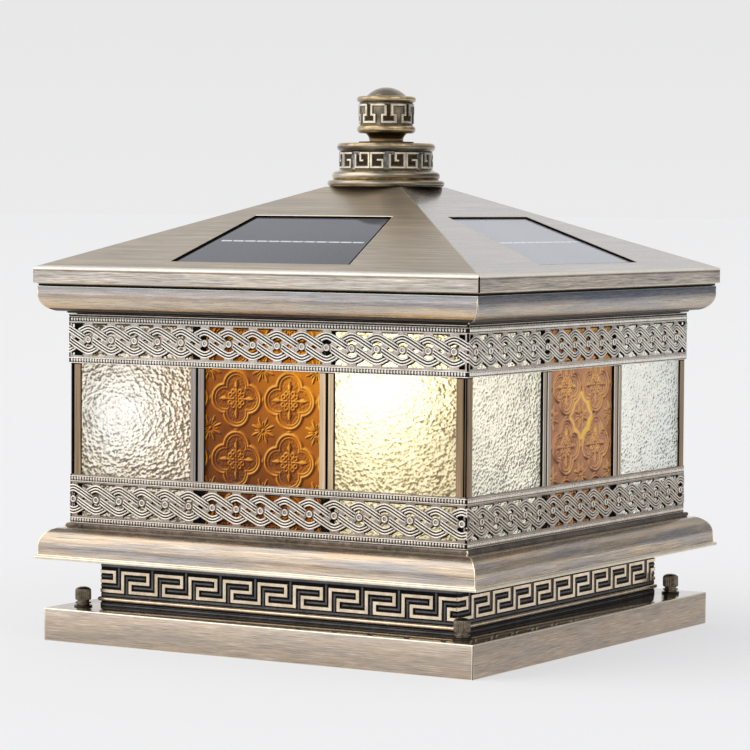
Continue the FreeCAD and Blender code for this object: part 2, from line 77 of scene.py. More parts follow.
class Nodes:
    """Small helper that builds one material's node tree."""

    def __init__(self, name):
        self.mat = bpy.data.materials.new(name)
        self.mat.use_nodes = True
        self.nt = self.mat.node_tree
        self.nt.nodes.clear()
        self.out = self.nt.nodes.new("ShaderNodeOutputMaterial")
        self.bsdf = self.nt.nodes.new("ShaderNodeBsdfPrincipled")
        self.link(self.bsdf.outputs[0], self.out.inputs["Surface"])
        self._pos = None

    def node(self, kind, **kw):
        n = self.nt.nodes.new(kind)
        for k, v in kw.items():
            setattr(n, k, v)
        return n

    def link(self, a, b):
        self.nt.links.new(a, b)

    def position(self):
        if self._pos is None:
            self._pos = self.node("ShaderNodeTexCoord").outputs["Object"]
        return self._pos

    def math(self, op, a, b=None, c=None, clamp=False):
        n = self.node("ShaderNodeMath", operation=op, use_clamp=clamp)
        for i, v in enumerate((a, b, c)):
            if v is None:
                continue
            if isinstance(v, (int, float)):
                n.inputs[i].default_value = v
            else:
                self.link(v, n.inputs[i])
        return n.outputs[0]

    def scaled(self, sx, sy, sz, vec=None):
        n = self.node("ShaderNodeMapping")
        n.inputs["Scale"].default_value = (sx, sy, sz)
        self.link(vec if vec is not None else self.position(), n.inputs["Vector"])
        return n.outputs[0]

    def noise(self, vec, scale=1.0, detail=2.0, rough=0.5, distortion=0.0):
        n = self.node("ShaderNodeTexNoise")
        n.inputs["Scale"].default_value = scale
        n.inputs["Detail"].default_value = detail
        n.inputs["Roughness"].default_value = rough
        n.inputs["Distortion"].default_value = distortion
        self.link(vec, n.inputs["Vector"])
        return n.outputs["Fac"]

    def voronoi(self, vec, scale=1.0, feature="F1"):
        n = self.node("ShaderNodeTexVoronoi", feature=feature)
        n.inputs["Scale"].default_value = scale
        self.link(vec, n.inputs["Vector"])
        return n.outputs["Distance"]

    def ramp(self, fac, stops):
        n = self.node("ShaderNodeValToRGB")
        el = n.color_ramp.elements
        while len(el) < len(stops):
            el.new(0.5)
        for e, (p, c) in zip(el, stops):
            e.position = p
            e.color = c
        self.link(fac, n.inputs["Fac"])
        return n.outputs["Color"]

    def mix(self, fac, a, b, blend="MIX"):
        n = self.node("ShaderNodeMix", data_type="RGBA", blend_type=blend)
        for sock, v in ((n.inputs[0], fac), (n.inputs[6], a), (n.inputs[7], b)):
            if isinstance(v, (int, float)):
                sock.default_value = v
            elif isinstance(v, tuple):
                sock.default_value = v
            else:
                self.link(v, sock)
        return n.outputs[2]

    def range(self, fac, lo, hi, a=0.0, b=1.0):
        n = self.node("ShaderNodeMapRange")
        n.inputs["From Min"].default_value = a
        n.inputs["From Max"].default_value = b
        n.inputs["To Min"].default_value = lo
        n.inputs["To Max"].default_value = hi
        self.link(fac, n.inputs["Value"])
        return n.outputs["Result"]

    def bump(self, height, strength, distance):
        n = self.node("ShaderNodeBump")
        n.inputs["Strength"].default_value = strength
        n.inputs["Distance"].default_value = distance
        self.link(height, n.inputs["Height"])
        self.link(n.outputs["Normal"], self.bsdf.inputs["Normal"])

    def colour(self, sock):
        self.link(sock, self.bsdf.inputs["Base Color"])

    def set(self, **kw):
        for k, v in kw.items():
            self.bsdf.inputs[k.replace("_", " ")].default_value = v


def brushed(name, dark, mid, light, metallic=0.92, rough=(0.28, 0.42), fine=3000.0, coarse=1750.0, run=15.0,
            blotch=0.22, bump=0.10, upright=False, polar=False, warm=None, cool=None, coat=0.0, spread=0.15, tint=0.25, falls=True, levels=None, sides=None, coat_rough=0.2):
    """Brushed sheet: thin streaks run level round the object, whatever way the sheet faces; upright turns them. levels
    multiplies the colour by a ramp over height (mm), painted shade and reflection; sides multiplies it on the faces
    that look along x, painted light and shade of those sides."""
    n = Nodes(name)
    sep = n.node("ShaderNodeSeparateXYZ")
    n.link(n.position(), sep.inputs[0])
    x, y, z = sep.outputs
    ax, ay = n.math("ABSOLUTE", x), n.math("ABSOLUTE", y)
    if upright:
        flat = n.math("SUBTRACT", x, y)
        comb = n.node("ShaderNodeCombineXYZ")
        n.link(n.math("MULTIPLY", z, run / coarse), comb.inputs[0])
        n.link(flat, comb.inputs[2])
        vec = comb.outputs[0]
        s1 = n.scaled(coarse, coarse, coarse, vec)
        s2 = n.scaled(fine, fine, fine, vec)
        s3 = n.scaled(coarse * 0.2, coarse * 0.2, coarse * 0.2, vec)
    else:
        if polar:
            across = n.math("SQRT", n.math("ADD", n.math("MULTIPLY", x, x), n.math("MULTIPLY", y, y)))
        else:
            across = n.math("MAXIMUM", ax, ay)
        level = n.math("SUBTRACT" if falls else "ADD", z, across)
        comb = n.node("ShaderNodeCombineXYZ")
        n.link(x, comb.inputs[0])
        n.link(y, comb.inputs[1])
        n.link(level, comb.inputs[2])
        vec = comb.outputs[0]
        s1 = n.scaled(run, run, coarse, vec)
        s2 = n.scaled(run * 2.6, run * 2.6, fine, vec)
        s3 = n.scaled(run * 0.4, run * 0.4, coarse * 0.09, vec)
    a = n.noise(s1, 1.0, 3.0, 0.6)
    b = n.noise(s2, 1.0, 2.0, 0.6)
    c = n.noise(s3, 1.0, 2.0, 0.5)
    streak = n.math("ADD", n.math("MULTIPLY", a, 0.62), n.math("MULTIPLY", b, 0.38))
    tone = n.math("ADD", streak, n.math("MULTIPLY", n.math("SUBTRACT", c, 0.5), blotch))
    col = n.ramp(tone, [(0.50 - spread, dark), (0.485, mid), (0.525, mid), (0.50 + spread, light)])
    if warm is not None:
        col = n.mix(n.range(c, 0.0, tint, 0.5, 0.62), col, warm)
        col = n.mix(n.range(c, tint, 0.0, 0.38, 0.5), col, cool)
    # painted shade and painted reflection that change with height
    if levels is not None:
        lo_, hi_ = levels[0][0], levels[-1][0]
        painted_height_light = n.ramp(n.range(z, 0.0, 1.0, lo_ * 0.001, hi_ * 0.001), [((q - lo_) / (hi_ - lo_), (*g, 1.0)) for q, g in levels])
        col = n.mix(1.0, col, painted_height_light, "MULTIPLY")
    # painted light and shade on the faces that look along x
    if sides is not None:
        col = n.mix(1.0, col, n.mix(n.math("GREATER_THAN", ax, ay), (1.0, 1.0, 1.0, 1.0), (*sides, 1.0)), "MULTIPLY")
    n.colour(col)
    n.link(n.range(b, rough[0], rough[1], 0.3, 0.7), n.bsdf.inputs["Roughness"])
    n.bump(streak, bump, 0.0002)
    n.set(Metallic=metallic, Coat_Weight=coat, Coat_Roughness=coat_rough)
    return n.mat


def cloudy_metal(name, low, high, metallic=0.9, rough=(0.25, 0.4), scale=900.0, bump=0.08, coat=0.0, spec=0.5):
    """Plain metal with a fine cloudy tone, for edges, ridges and small turned parts; on the pale edge, eave and ridge
    materials its light colours are a painted highlight.
    """
    n = Nodes(name)
    a = n.noise(n.position(), scale, 3.0, 0.6)
    b = n.noise(n.position(), scale * 0.12, 2.0, 0.5)
    t = n.math("ADD", n.math("MULTIPLY", a, 0.6), n.math("MULTIPLY", b, 0.4))
    n.colour(n.ramp(t, [(0.32, low), (0.66, high)]))
    n.link(n.range(a, rough[0], rough[1], 0.3, 0.7), n.bsdf.inputs["Roughness"])
    n.bump(a, bump, 0.0002)
    n.set(Metallic=metallic, Coat_Weight=coat, Specular_IOR_Level=spec)
    return n.mat


def plain(name, low, high, rough=0.5, scale=400.0, bump=0.1, metallic=0.0, spec=0.5):
    """Moulded or painted finish with a fine grain."""
    n = Nodes(name)
    a = n.noise(n.position(), scale, 3.0, 0.55)
    n.colour(n.ramp(a, [(0.3, low), (0.7, high)]))
    n.link(n.range(a, rough - 0.06, rough + 0.06, 0.3, 0.7), n.bsdf.inputs["Roughness"])
    n.bump(a, bump, 0.0003)
    n.set(Metallic=metallic, Specular_IOR_Level=spec)
    return n.mat


M = {}
M["sheet"] = brushed("brass_brushed", lin(132, 117, 102), lin(180, 164, 147), lin(220, 206, 189), warm=lin(184, 160, 130), cool=lin(172, 166, 160), run=46.0, spread=0.17)
M["roof"] = brushed("brass_brushed_roof", lin(136, 122, 102), lin(174, 160, 139), lin(210, 196, 174), rough=(0.28, 0.40), warm=lin(188, 166, 134), cool=lin(176, 170, 160), run=24.0, coat=0.25, spread=0.14, bump=0.14)
# slopes that look along x: a lighter, more neutral and glossier copy of the roof, painted light that differs between
# sides
M["roof_side"] = brushed("brass_brushed_roof_side_painted_light", lin(142, 134, 122), lin(173, 165, 153), lin(204, 197, 186), rough=(0.20, 0.30), warm=lin(186, 174, 156), cool=lin(180, 178, 176), run=24.0, coat=0.35, coat_rough=0.08, spread=0.17)
# painted highlight along the eave bend, and its softer upper edge
M["eave"] = cloudy_metal("brass_eave_bend_painted_highlight", lin(244, 234, 218), lin(255, 251, 242), metallic=0.8, rough=(0.28, 0.36), scale=300.0, bump=0.0)
M["eave_soft"] = cloudy_metal("brass_eave_soft_painted_highlight", lin(202, 188, 168), lin(228, 216, 198), rough=(0.3, 0.4), scale=300.0, bump=0.0)
M["fascia_low"] = brushed("brass_fascia_shadow", lin(104, 94, 84), lin(142, 130, 118), lin(178, 168, 154), rough=(0.28, 0.40), run=44.0)
M["fascia"] = brushed("brass_brushed_fascia", lin(112, 102, 92), lin(188, 178, 164), lin(240, 231, 218), rough=(0.28, 0.40), warm=lin(190, 172, 148), cool=lin(178, 176, 172), run=44.0, spread=0.15)
# lower cornice: its levels paint a band of shade just under the top flat, its sides paint the faces that look along x
# lighter
M["cornice"] = brushed("brass_brushed_cornice", lin(112, 101, 90), lin(168, 154, 139), lin(216, 204, 188), rough=(0.20, 0.32), warm=lin(186, 158, 122), cool=lin(156, 156, 160), blotch=0.3, run=34.0, tint=0.4, spread=0.16,
                       levels=((65.0, (1.0, 1.0, 1.0)), (66.0, (0.88, 0.86, 0.82)), (66.9, (0.58, 0.55, 0.50)), (67.5, (0.40, 0.37, 0.34)), (68.1, (0.38, 0.36, 0.34)), (68.3, (0.95, 0.93, 0.90)), (68.5, (1.0, 0.98, 0.95))), sides=(1.24, 1.24, 1.23))
# upper cornice: its levels paint reflection and shade, warm and dark at the foot, cooler and darker towards the top;
# its sides paint the faces that look along x darker and cooler
M["cornice_up"] = brushed("brass_brushed_cornice_upper", lin(144, 130, 112), lin(210, 192, 167), lin(250, 238, 220), rough=(0.22, 0.34), warm=lin(222, 190, 150), cool=lin(190, 186, 184), blotch=0.3, run=40.0, tint=0.4, spread=0.16, falls=False,
                          levels=((202.0, (0.72, 0.60, 0.48)), (203.4, (0.92, 0.83, 0.74)), (204.6, (1.0, 1.0, 1.0)), (207.4, (0.98, 0.98, 0.98)), (209.0, (0.64, 0.67, 0.77)), (212.0, (0.49, 0.54, 0.68)), (214.8, (0.33, 0.42, 0.58))), sides=(0.72, 0.77, 0.86))
# painted shade on undersides, on the bead and foot of the upper cornice and on the dark side of each hip
M["under"] = brushed("brass_dark_painted_shade", lin(34, 28, 26), lin(62, 52, 46), lin(96, 84, 74), rough=(0.3, 0.45))
M["top"] = brushed("brass_top_glossy", lin(132, 116, 98), lin(176, 158, 134), lin(206, 188, 164), rough=(0.07, 0.15), bump=0.03, coarse=300.0, run=40.0)
M["post"] = brushed("brass_brushed_upright", lin(124, 112, 98), lin(174, 160, 143), lin(212, 200, 184), upright=True, rough=(0.28, 0.4))
M["post_dark"] = brushed("brass_corner_upright", lin(100, 82, 60), lin(144, 121, 93), lin(178, 156, 126), upright=True, rough=(0.26, 0.38))
# left and right mullions of the front and back frames: a cooler, darker copy, painted shade, and a warmer, brighter
# one, painted lamplight from the glowing pane beside it
M["mull_cool"] = brushed("brass_mullion_painted_shade", lin(108, 100, 92), lin(150, 141, 132), lin(184, 176, 166), upright=True, rough=(0.28, 0.4))
M["mull_warm"] = brushed("brass_mullion_painted_lamplight", lin(144, 122, 92), lin(202, 176, 141), lin(238, 216, 180), upright=True, rough=(0.28, 0.4))
# painted shade on the lower cornice's top bead, just under the band
M["bead_dark"] = cloudy_metal("brass_bead_painted_shade", lin(52, 45, 40), lin(122, 110, 100), rough=(0.26, 0.40), scale=500.0)
# pale strips on rounded edges, bevels, lips and beside mitres: painted highlight
M["edge"] = cloudy_metal("brass_edge_painted_highlight", lin(226, 212, 186), lin(250, 240, 220), rough=(0.3, 0.36), scale=300.0, bump=0.0)
M["roof_edge"] = cloudy_metal("brass_edge_roof_painted_highlight", lin(206, 194, 172), lin(232, 222, 202), rough=(0.3, 0.4), scale=300.0, bump=0.0)
# black for open seams and gaps, and painted shade where a backing, channel or wall sits in shadow
M["seam"] = cloudy_metal("patina_black_and_painted_shade", lin(6, 6, 5), lin(20, 18, 16), metallic=0.1, rough=(0.55, 0.7), spec=0.08)
M["band"] = cloudy_metal("brass_band", lin(142, 130, 120), lin(204, 192, 180), rough=(0.26, 0.40), scale=700.0)
# lower band: darker copies of the band and ridge materials, painted shade; the pale ridge colour is a painted highlight
M["band_low"] = cloudy_metal("brass_band_low", lin(112, 100, 90), lin(172, 160, 148), rough=(0.26, 0.40), scale=700.0)
M["ridge_low"] = cloudy_metal("brass_ridge_low", lin(204, 192, 176), lin(250, 242, 230), metallic=0.8, rough=(0.24, 0.36), scale=1100.0)
# pale ridges, rims and beads of the bands: painted highlight
M["ridge"] = cloudy_metal("brass_ridge", lin(222, 212, 198), lin(255, 252, 244), metallic=0.8, rough=(0.24, 0.36), scale=1100.0)
# blackened grooves and channels of the bands, and painted shade on the hole walls and in the line under the upper lip
M["groove"] = cloudy_metal("patina_groove_and_painted_shade", lin(8, 8, 7), lin(34, 30, 25), metallic=0.3, rough=(0.42, 0.6), spec=0.12)
M["line"] = cloudy_metal("brass_fret_line", lin(204, 184, 154), lin(255, 236, 208), metallic=0.85, rough=(0.18, 0.28), scale=160.0, bump=0.02)
M["fret_dark"] = cloudy_metal("patina_fret", lin(3, 3, 3), lin(12, 11, 11), metallic=0.1, rough=(0.4, 0.6), spec=0.1)
M["fret_grey"] = cloudy_metal("patina_grey", lin(60, 60, 60), lin(118, 116, 116), metallic=0.6, rough=(0.32, 0.5))
M["bronze"] = brushed("bronze_turned", lin(84, 77, 66), lin(142, 132, 115), lin(192, 181, 160), polar=True, rough=(0.12, 0.22), coarse=700.0, run=30.0, blotch=0.6, bump=0.05)
# painted highlight on the upper faces of the finial's rims
M["rim"] = cloudy_metal("bronze_rim_painted_highlight", lin(120, 102, 74), lin(208, 184, 142), rough=(0.10, 0.20), scale=220.0, bump=0.03)
M["drum_ground"] = cloudy_metal("bronze_ground", lin(74, 71, 66), lin(150, 146, 138), metallic=0.85, rough=(0.16, 0.3), scale=420.0)
M["drum_dark"] = cloudy_metal("bronze_pocket", lin(16, 12, 8), lin(74, 56, 36), metallic=0.7, rough=(0.2, 0.4), scale=420.0, spec=0.3)
M["gold"] = cloudy_metal("bronze_highlight", lin(168, 156, 134), lin(250, 236, 204), rough=(0.14, 0.26), scale=170.0, bump=0.03)
M["knob_line"] = cloudy_metal("bronze_knob_line", lin(158, 140, 108), lin(255, 246, 222), rough=(0.14, 0.26), scale=210.0, bump=0.03)
M["knob_ground"] = cloudy_metal("bronze_knob_ground", lin(26, 20, 14), lin(150, 138, 116), metallic=0.85, rough=(0.12, 0.26), scale=150.0)
M["neck"] = brushed("bronze_neck", lin(62, 48, 30), lin(116, 92, 60), lin(176, 146, 100), polar=True, rough=(0.14, 0.24), coarse=900.0, run=30.0, blotch=0.5, bump=0.05)
M["screw"] = cloudy_metal("bronze_screw", lin(74, 66, 56), lin(138, 126, 108), rough=(0.18, 0.3), scale=500.0, bump=0.03)
M["washer"] = cloudy_metal("bronze_washer", lin(40, 36, 30), lin(92, 82, 66), rough=(0.3, 0.45), scale=1400.0)
M["steel"] = cloudy_metal("steel_galvanised", lin(138, 142, 146), lin(192, 196, 200), rough=(0.3, 0.5), scale=160.0)
M["aluminium"] = cloudy_metal("aluminium", lin(176, 178, 180), lin(222, 224, 226), rough=(0.28, 0.42), scale=300.0)
M["spring"] = cloudy_metal("spring_steel", lin(150, 150, 150), lin(196, 196, 196), rough=(0.22, 0.34), scale=500.0)
M["black_sheet"] = plain("black_sheet", lin(12, 12, 12), lin(26, 25, 24), rough=0.55)
M["black_rubber"] = plain("black_rubber", lin(14, 14, 14), lin(28, 28, 28), rough=0.7)
M["black_plastic"] = plain("black_plastic", lin(18, 18, 19), lin(34, 34, 36), rough=0.45)
M["red_plastic"] = plain("red_plastic", lin(150, 20, 16), lin(190, 34, 26), rough=0.4)
M["board"] = plain("circuit_board", lin(10, 66, 38), lin(18, 96, 56), rough=0.35, scale=900.0)
M["wrap"] = plain("battery_wrap", lin(24, 78, 130), lin(36, 98, 156), rough=0.3, scale=120.0)
M["lead"] = plain("lead_insulation", lin(120, 16, 14), lin(160, 26, 20), rough=0.42, scale=600.0)
M["board_white"] = plain("led_board_white", lin(214, 214, 208), lin(236, 236, 230), rough=0.4, scale=300.0)


def glowing(name, low, high, power, rough=0.4):
    n = Nodes(name)
    a = n.noise(n.position(), 60.0, 2.0, 0.5)
    col = n.ramp(a, [(0.3, low), (0.7, high)])
    n.colour(col)
    n.link(col, n.bsdf.inputs["Emission Color"])
    n.bump(a, 0.05, 0.0002)
    n.set(Emission_Strength=power, Roughness=rough)
    return n.mat


M["diffuser"] = glowing("opal_diffuser", lin(255, 242, 210), lin(255, 250, 228), 3.8)
M["chip"] = glowing("led_chip", lin(255, 220, 120), lin(255, 236, 170), 12.0)


def clear_glass(name, near, far):
    """Hammered clear glass with painted light: the tone stored on each point stands in for how the dimples bend the
    lamp's light from inside, and the inner face scatters some.
    near and far are the tones of the pattern close to the lamp's glow and away from it."""
    n = Nodes(name)
    att = n.node("ShaderNodeAttribute", attribute_name="painted_light_tone")
    dist = n.node("ShaderNodeAttribute", attribute_name="away")
    a = n.noise(n.position(), 900.0, 2.0, 0.5)
    t = n.math("ADD", att.outputs["Fac"], n.math("MULTIPLY", n.math("SUBTRACT", a, 0.5), 0.45))
    c0 = n.ramp(t, list(zip((0.0, 0.25, 0.48, 0.64), near)))
    c1 = n.ramp(t, list(zip((0.0, 0.25, 0.48, 0.74), far)))
    col = n.mix(n.range(dist.outputs["Fac"], 0.0, 1.0, 0.35, 0.85), c0, c1)
    n.colour(col)
    n.set(Transmission_Weight=1.0, Roughness=0.24, IOR=1.45)
    tr = n.node("ShaderNodeBsdfTranslucent")
    n.link(col, tr.inputs["Color"])
    mx = n.node("ShaderNodeMixShader")
    mx.inputs[0].default_value = 0.5
    n.link(n.bsdf.outputs[0], mx.inputs[1])
    n.link(tr.outputs[0], mx.inputs[2])
    n.link(mx.outputs[0], n.out.inputs["Surface"])
    return n.mat


def amber_glass(name, stops):
    """Pressed amber glass: the pattern's flanks carry painted light and shade, lighter or darker, and the body scatters
    the light from inside.
    """
    n = Nodes(name)
    att = n.node("ShaderNodeAttribute", attribute_name="painted_light_tone")
    a = n.noise(n.position(), 1500.0, 2.0, 0.6)
    t = n.math("ADD", att.outputs["Fac"], n.math("MULTIPLY", n.math("SUBTRACT", a, 0.5), 0.35))
    col = n.ramp(t, list(zip((0.0, 0.28, 0.5, 0.72, 1.0), stops)))
    n.colour(col)
    n.bump(a, 0.12, 0.0003)
    n.set(Transmission_Weight=0.6, Roughness=0.2, IOR=1.45, Coat_Weight=0.0, Coat_Roughness=0.12)
    tr = n.node("ShaderNodeBsdfTranslucent")
    n.link(col, tr.inputs["Color"])
    mx = n.node("ShaderNodeMixShader")
    mx.inputs[0].default_value = 0.5
    n.link(n.bsdf.outputs[0], mx.inputs[1])
    n.link(tr.outputs[0], mx.inputs[2])
    n.link(mx.outputs[0], n.out.inputs["Surface"])
    return n.mat


def solar_glass():
    """Dark cells under a clear cover; where the panel is seen at a low angle a pale colour is mixed in, a painted sheen
    for the cover's reflection.
    """
    n = Nodes("solar_cell_glass")
    a = n.noise(n.position(), 1300.0, 2.0, 0.6)
    b = n.noise(n.position(), 14.0, 1.0, 0.5)
    t = n.math("ADD", n.math("MULTIPLY", a, 0.7), n.math("MULTIPLY", b, 0.3))
    cells_ = n.ramp(t, [(0.3, lin(10, 11, 16)), (0.7, lin(44, 46, 58))])
    painted_sheen = n.ramp(t, [(0.3, lin(176, 176, 184)), (0.7, lin(206, 206, 214))])
    # painted sheen: the pale colour takes over as the view grows grazing
    lw = n.node("ShaderNodeLayerWeight")
    lw.inputs["Blend"].default_value = 0.5
    n.colour(n.mix(n.range(lw.outputs["Facing"], 0.0, 0.75, 0.66, 0.80), cells_, painted_sheen))
    n.link(n.range(a, 0.26, 0.36, 0.3, 0.7), n.bsdf.inputs["Roughness"])
    n.bump(a, 0.04, 0.0001)
    n.set(Metallic=0.0, Coat_Weight=0.85, Coat_Roughness=0.03, Specular_IOR_Level=0.0)
    return n.mat


def milky_plastic():
    """Clear spring plastic that lets light through."""
    n = Nodes("clip_plastic_clear")
    a = n.noise(n.position(), 300.0, 2.0, 0.5)
    n.colour(n.ramp(a, [(0.3, lin(236, 236, 230)), (0.7, lin(252, 252, 248))]))
    n.set(Transmission_Weight=1.0, Roughness=0.3, IOR=1.05, Alpha=0.12)
    return n.mat


M["clip_clear"] = milky_plastic()
# copies of the clear glass for painted lamplight that differs between panes: neutral for the front left pane, warm for
# the front right one, cool for the others
M["clear"] = clear_glass("glass_clear_hammered", (lin(58, 54, 46), lin(138, 134, 124), lin(224, 222, 216), lin(255, 255, 255)),
                         (lin(54, 44, 34), lin(138, 119, 94), lin(212, 196, 170), lin(255, 253, 248)))
M["clear_warm"] = clear_glass("glass_clear_hammered_warm", (lin(112, 96, 56), lin(190, 176, 128), lin(240, 236, 214), lin(255, 255, 252)),
                              (lin(84, 74, 56), lin(168, 155, 124), lin(234, 226, 200), lin(255, 254, 248)))
M["clear_cool"] = clear_glass("glass_clear_hammered_cool", (lin(98, 97, 88), lin(174, 174, 164), lin(234, 238, 238), lin(255, 255, 255)),
                              (lin(76, 76, 74), lin(156, 157, 154), lin(232, 234, 234), lin(254, 255, 255)))
M["amber"] = amber_glass("glass_amber_pressed", (lin(62, 32, 0), lin(142, 88, 2), lin(204, 144, 12), lin(250, 200, 56), lin(255, 238, 134)))
# the side amber panes: a pinker, paler copy, painted light that differs from the front
M["amber_side"] = amber_glass("glass_amber_pressed_side", (lin(62, 34, 20), lin(134, 98, 74), lin(206, 170, 142), lin(228, 194, 142), lin(255, 240, 112)))
M["solar"] = solar_glass()
M["silver"] = cloudy_metal("silver_busbar", lin(214, 214, 218), lin(250, 250, 252), rough=(0.2, 0.35), scale=900.0)


# ============================================================ mesh building
class Build:
    """Collects vertices (millimetres) and faces with a material number."""

    def __init__(self):
        self.v, self.f, self.m, self.n = [], [], [], 0

    def add(self, verts, faces, mat=0):
        verts = np.asarray(verts, float).reshape(-1, 3)
        self.v.append(verts)
        base = self.n
        self.n += len(verts)
        if isinstance(mat, int):
            self.m += [mat] * len(faces)
        else:
            self.m += list(mat)
        self.f += [tuple(int(i) + base for i in f) for f in faces]

    def grid(self, pts, mat=0, close_u=False, close_v=False):
        """pts is a (u, v, 3) array; mat is a number or a (u-1, v-1) table."""
        pts = np.asarray(pts, float)
        nu, nv = pts.shape[:2]
        faces, mats = [], []
        for i in range(nu if close_u else nu - 1):
            for j in range(nv if close_v else nv - 1):
                a, b = (i + 1) % nu, (j + 1) % nv
                faces.append((i * nv + j, a * nv + j, a * nv + b, i * nv + b))
                mats.append(mat if isinstance(mat, int) else int(mat[i][j]))
        self.add(pts.reshape(-1, 3), faces, mats)

    def merge(self, other, deg=0.0, shift=(0, 0, 0)):
        v = turn(np.concatenate(other.v), deg) + np.array(shift, float)
        self.v.append(v)
        self.f += [tuple(i + self.n for i in f) for f in other.f]
        self.m += other.m
        self.n += len(v)


def turn(v, deg):
    if deg % 360 == 0:
        return np.array(v, float)
    c, s = round(math.cos(math.radians(deg)), 12), round(math.sin(math.radians(deg)), 12)
    v = np.asarray(v, float)
    out = v.copy()
    out[:, 0] = c * v[:, 0] - s * v[:, 1]
    out[:, 1] = s * v[:, 0] + c * v[:, 1]
    return out


def to_object(name, b, mats, body, nodes=(), angle=32.0, merge=True, recalc=True, bevel=None):
    me = bpy.data.meshes.new(name)
    v = np.concatenate(b.v) * MM
    me.from_pydata(v.tolist(), [], b.f)
    me.polygons.foreach_set("material_index", np.array(b.m, np.int32))
    for m in mats:
        me.materials.append(M[m])
    ob = bpy.data.objects.new(name, me)
    SCENE.collection.objects.link(ob)
    bm = bmesh.new()
    bm.from_mesh(me)
    if merge:
        bmesh.ops.remove_doubles(bm, verts=bm.verts, dist=2e-6)
        thin = [f for f in bm.faces if f.calc_area() < 1e-13]
        if thin:
            bmesh.ops.delete(bm, geom=thin, context="FACES")
        loose = [q for q in bm.verts if not q.link_faces]
        if loose:
            bmesh.ops.delete(bm, geom=loose, context="VERTS")
    if recalc:
        bmesh.ops.recalc_face_normals(bm, faces=bm.faces)
    bm.to_mesh(me)
    bm.free()
    if bevel:
        mod = ob.modifiers.new("bevel", "BEVEL")
        mod.width = bevel[0] * MM
        mod.segments = bevel[1]
        mod.limit_method = "ANGLE"
        mod.angle_limit = math.radians(40)
        mod.material = bevel[2] if len(bevel) > 2 else -1
        bpy.context.view_layer.update()
        dep = bpy.context.evaluated_depsgraph_get()
        new = bpy.data.meshes.new_from_object(ob.evaluated_get(dep))
        ob.modifiers.clear()
        ob.data = new
        me = new
    me.shade_smooth()
    me.set_sharp_from_angle(angle=math.radians(angle))
    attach(ob, body)
    if nodes:
        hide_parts(*nodes)
    return ob


def arc3(a, mid, b, n):
    """n + 1 points on the circle through three (h, z) points, a and b included."""
    (ax, ay), (bx, by), (cx, cy) = a, mid, b
    d = 2 * (ax * (by - cy) + bx * (cy - ay) + cx * (ay - by))
    ux = ((ax**2 + ay**2) * (by - cy) + (bx**2 + by**2) * (cy - ay) + (cx**2 + cy**2) * (ay - by)) / d
    uy = ((ax**2 + ay**2) * (cx - bx) + (bx**2 + by**2) * (ax - cx) + (cx**2 + cy**2) * (bx - ax)) / d
    r = math.hypot(ax - ux, ay - uy)
    t0, tm, t1 = (math.atan2(p[1] - uy, p[0] - ux) for p in (a, mid, b))
    two = 2 * math.pi
    dm, d1 = (tm - t0) % two, (t1 - t0) % two
    if dm > d1:
        d1 -= two
    return [(ux + r * math.cos(t0 + d1 * k / n), uy + r * math.sin(t0 + d1 * k / n)) for k in range(n + 1)]


def section(items, n=3, edge=1):
    """Closed section. An item is (h, z, material of the run that leaves it, corner radius), or ("arc", mid, n, material)
    between two plain points. Rounded corners take the edge material."""
    flat = []
    for i, it in enumerate(items):
        if it[0] == "arc":
            a, b = items[i - 1], items[(i + 1) % len(items)]
            pts = arc3(a[:2], it[1], b[:2], it[2])
            flat[-1] = (flat[-1][0], flat[-1][1], it[3], flat[-1][3])
            flat += [(p[0], p[1], it[3], 0.0) for p in pts[1:-1]]
        else:
            flat.append(tuple(it) + (0.0,) * (4 - len(it)))
    pts, mats = [], []
    for i, (h, z, m, r) in enumerate(flat):
        if r <= 0:
            pts.append((h, z))
            mats.append(m)
            continue
        p = np.array((h, z))
        a = np.array(flat[i - 1][:2]) - p
        b = np.array(flat[(i + 1) % len(flat)][:2]) - p
        la, lb = np.linalg.norm(a), np.linalg.norm(b)
        a, b = a / la, b / lb
        half = math.acos(max(-1, min(1, float(a @ b)))) / 2
        t = min(r / math.tan(half), 0.49 * la, 0.49 * lb)
        rr = t * math.tan(half)
        c = p + (a + b) / np.linalg.norm(a + b) * (rr / math.sin(half))
        s, e = p + a * t - c, p + b * t - c
        sweep = math.pi - 2 * half
        for k in range(n + 1):
            w = sweep * k / n
            q = (math.sin(sweep - w) * s + math.sin(w) * e) / math.sin(sweep)
            pts.append(tuple(c + q))
            mats.append(edge if k < n else m)
    return np.array(pts), mats


def outward(pts):
    """Unit normals of a closed section, pointing out of it."""
    nxt, prv = np.roll(pts, -1, 0), np.roll(pts, 1, 0)
    area = np.sum(pts[:, 0] * nxt[:, 1] - nxt[:, 0] * pts[:, 1])
    d = nxt - prv
    n = np.stack([d[:, 1], -d[:, 0]], 1)
    n /= np.linalg.norm(n, axis=1)[:, None] + 1e-12
    return n if area > 0 else -n


def ring(items, seam=(0.3, 0.35, 0.5), seam_mats=(1, 2), only=None, n=3):
    """Section run round the square in four mitred sides. seam = (gap, depth, width of the strip beside the gap) at each
    mitre; seam_mats are the strip's and the gap's materials, by default the pale edge, a painted highlight, and black.
    """
    pts, mats = section(items, n)
    nor = outward(pts)
    g, d, w = seam
    b = Build()
    rows, tables = [], []
    for i, ((h, z), (nh, nz)) in enumerate(zip(pts, nor)):
        on = only is None or only(h, z)
        gg, dd, ww = (g, d, w) if on else (0.0, 0.0, 0.0)
        hm = h - dd * nh
        rows.append([(-hm, -hm, z - dd * nz), (-(h - gg), -h, z), (-(h - gg - ww), -h, z), (h - gg - ww, -h, z), (h - gg, -h, z), (hm, -hm, z - dd * nz)])
        e, s = (seam_mats if on else (mats[i], mats[i]))
        tables.append([s, e, mats[i], e, s])
    side = Build()
    side.grid(np.array(rows + rows[:1]), tables)
    for k in range(4):
        b.merge(side, 90 * k)
    return b


def four_sides(side):
    b = Build()
    for k in range(4):
        b.merge(side, 90 * k)
    return b


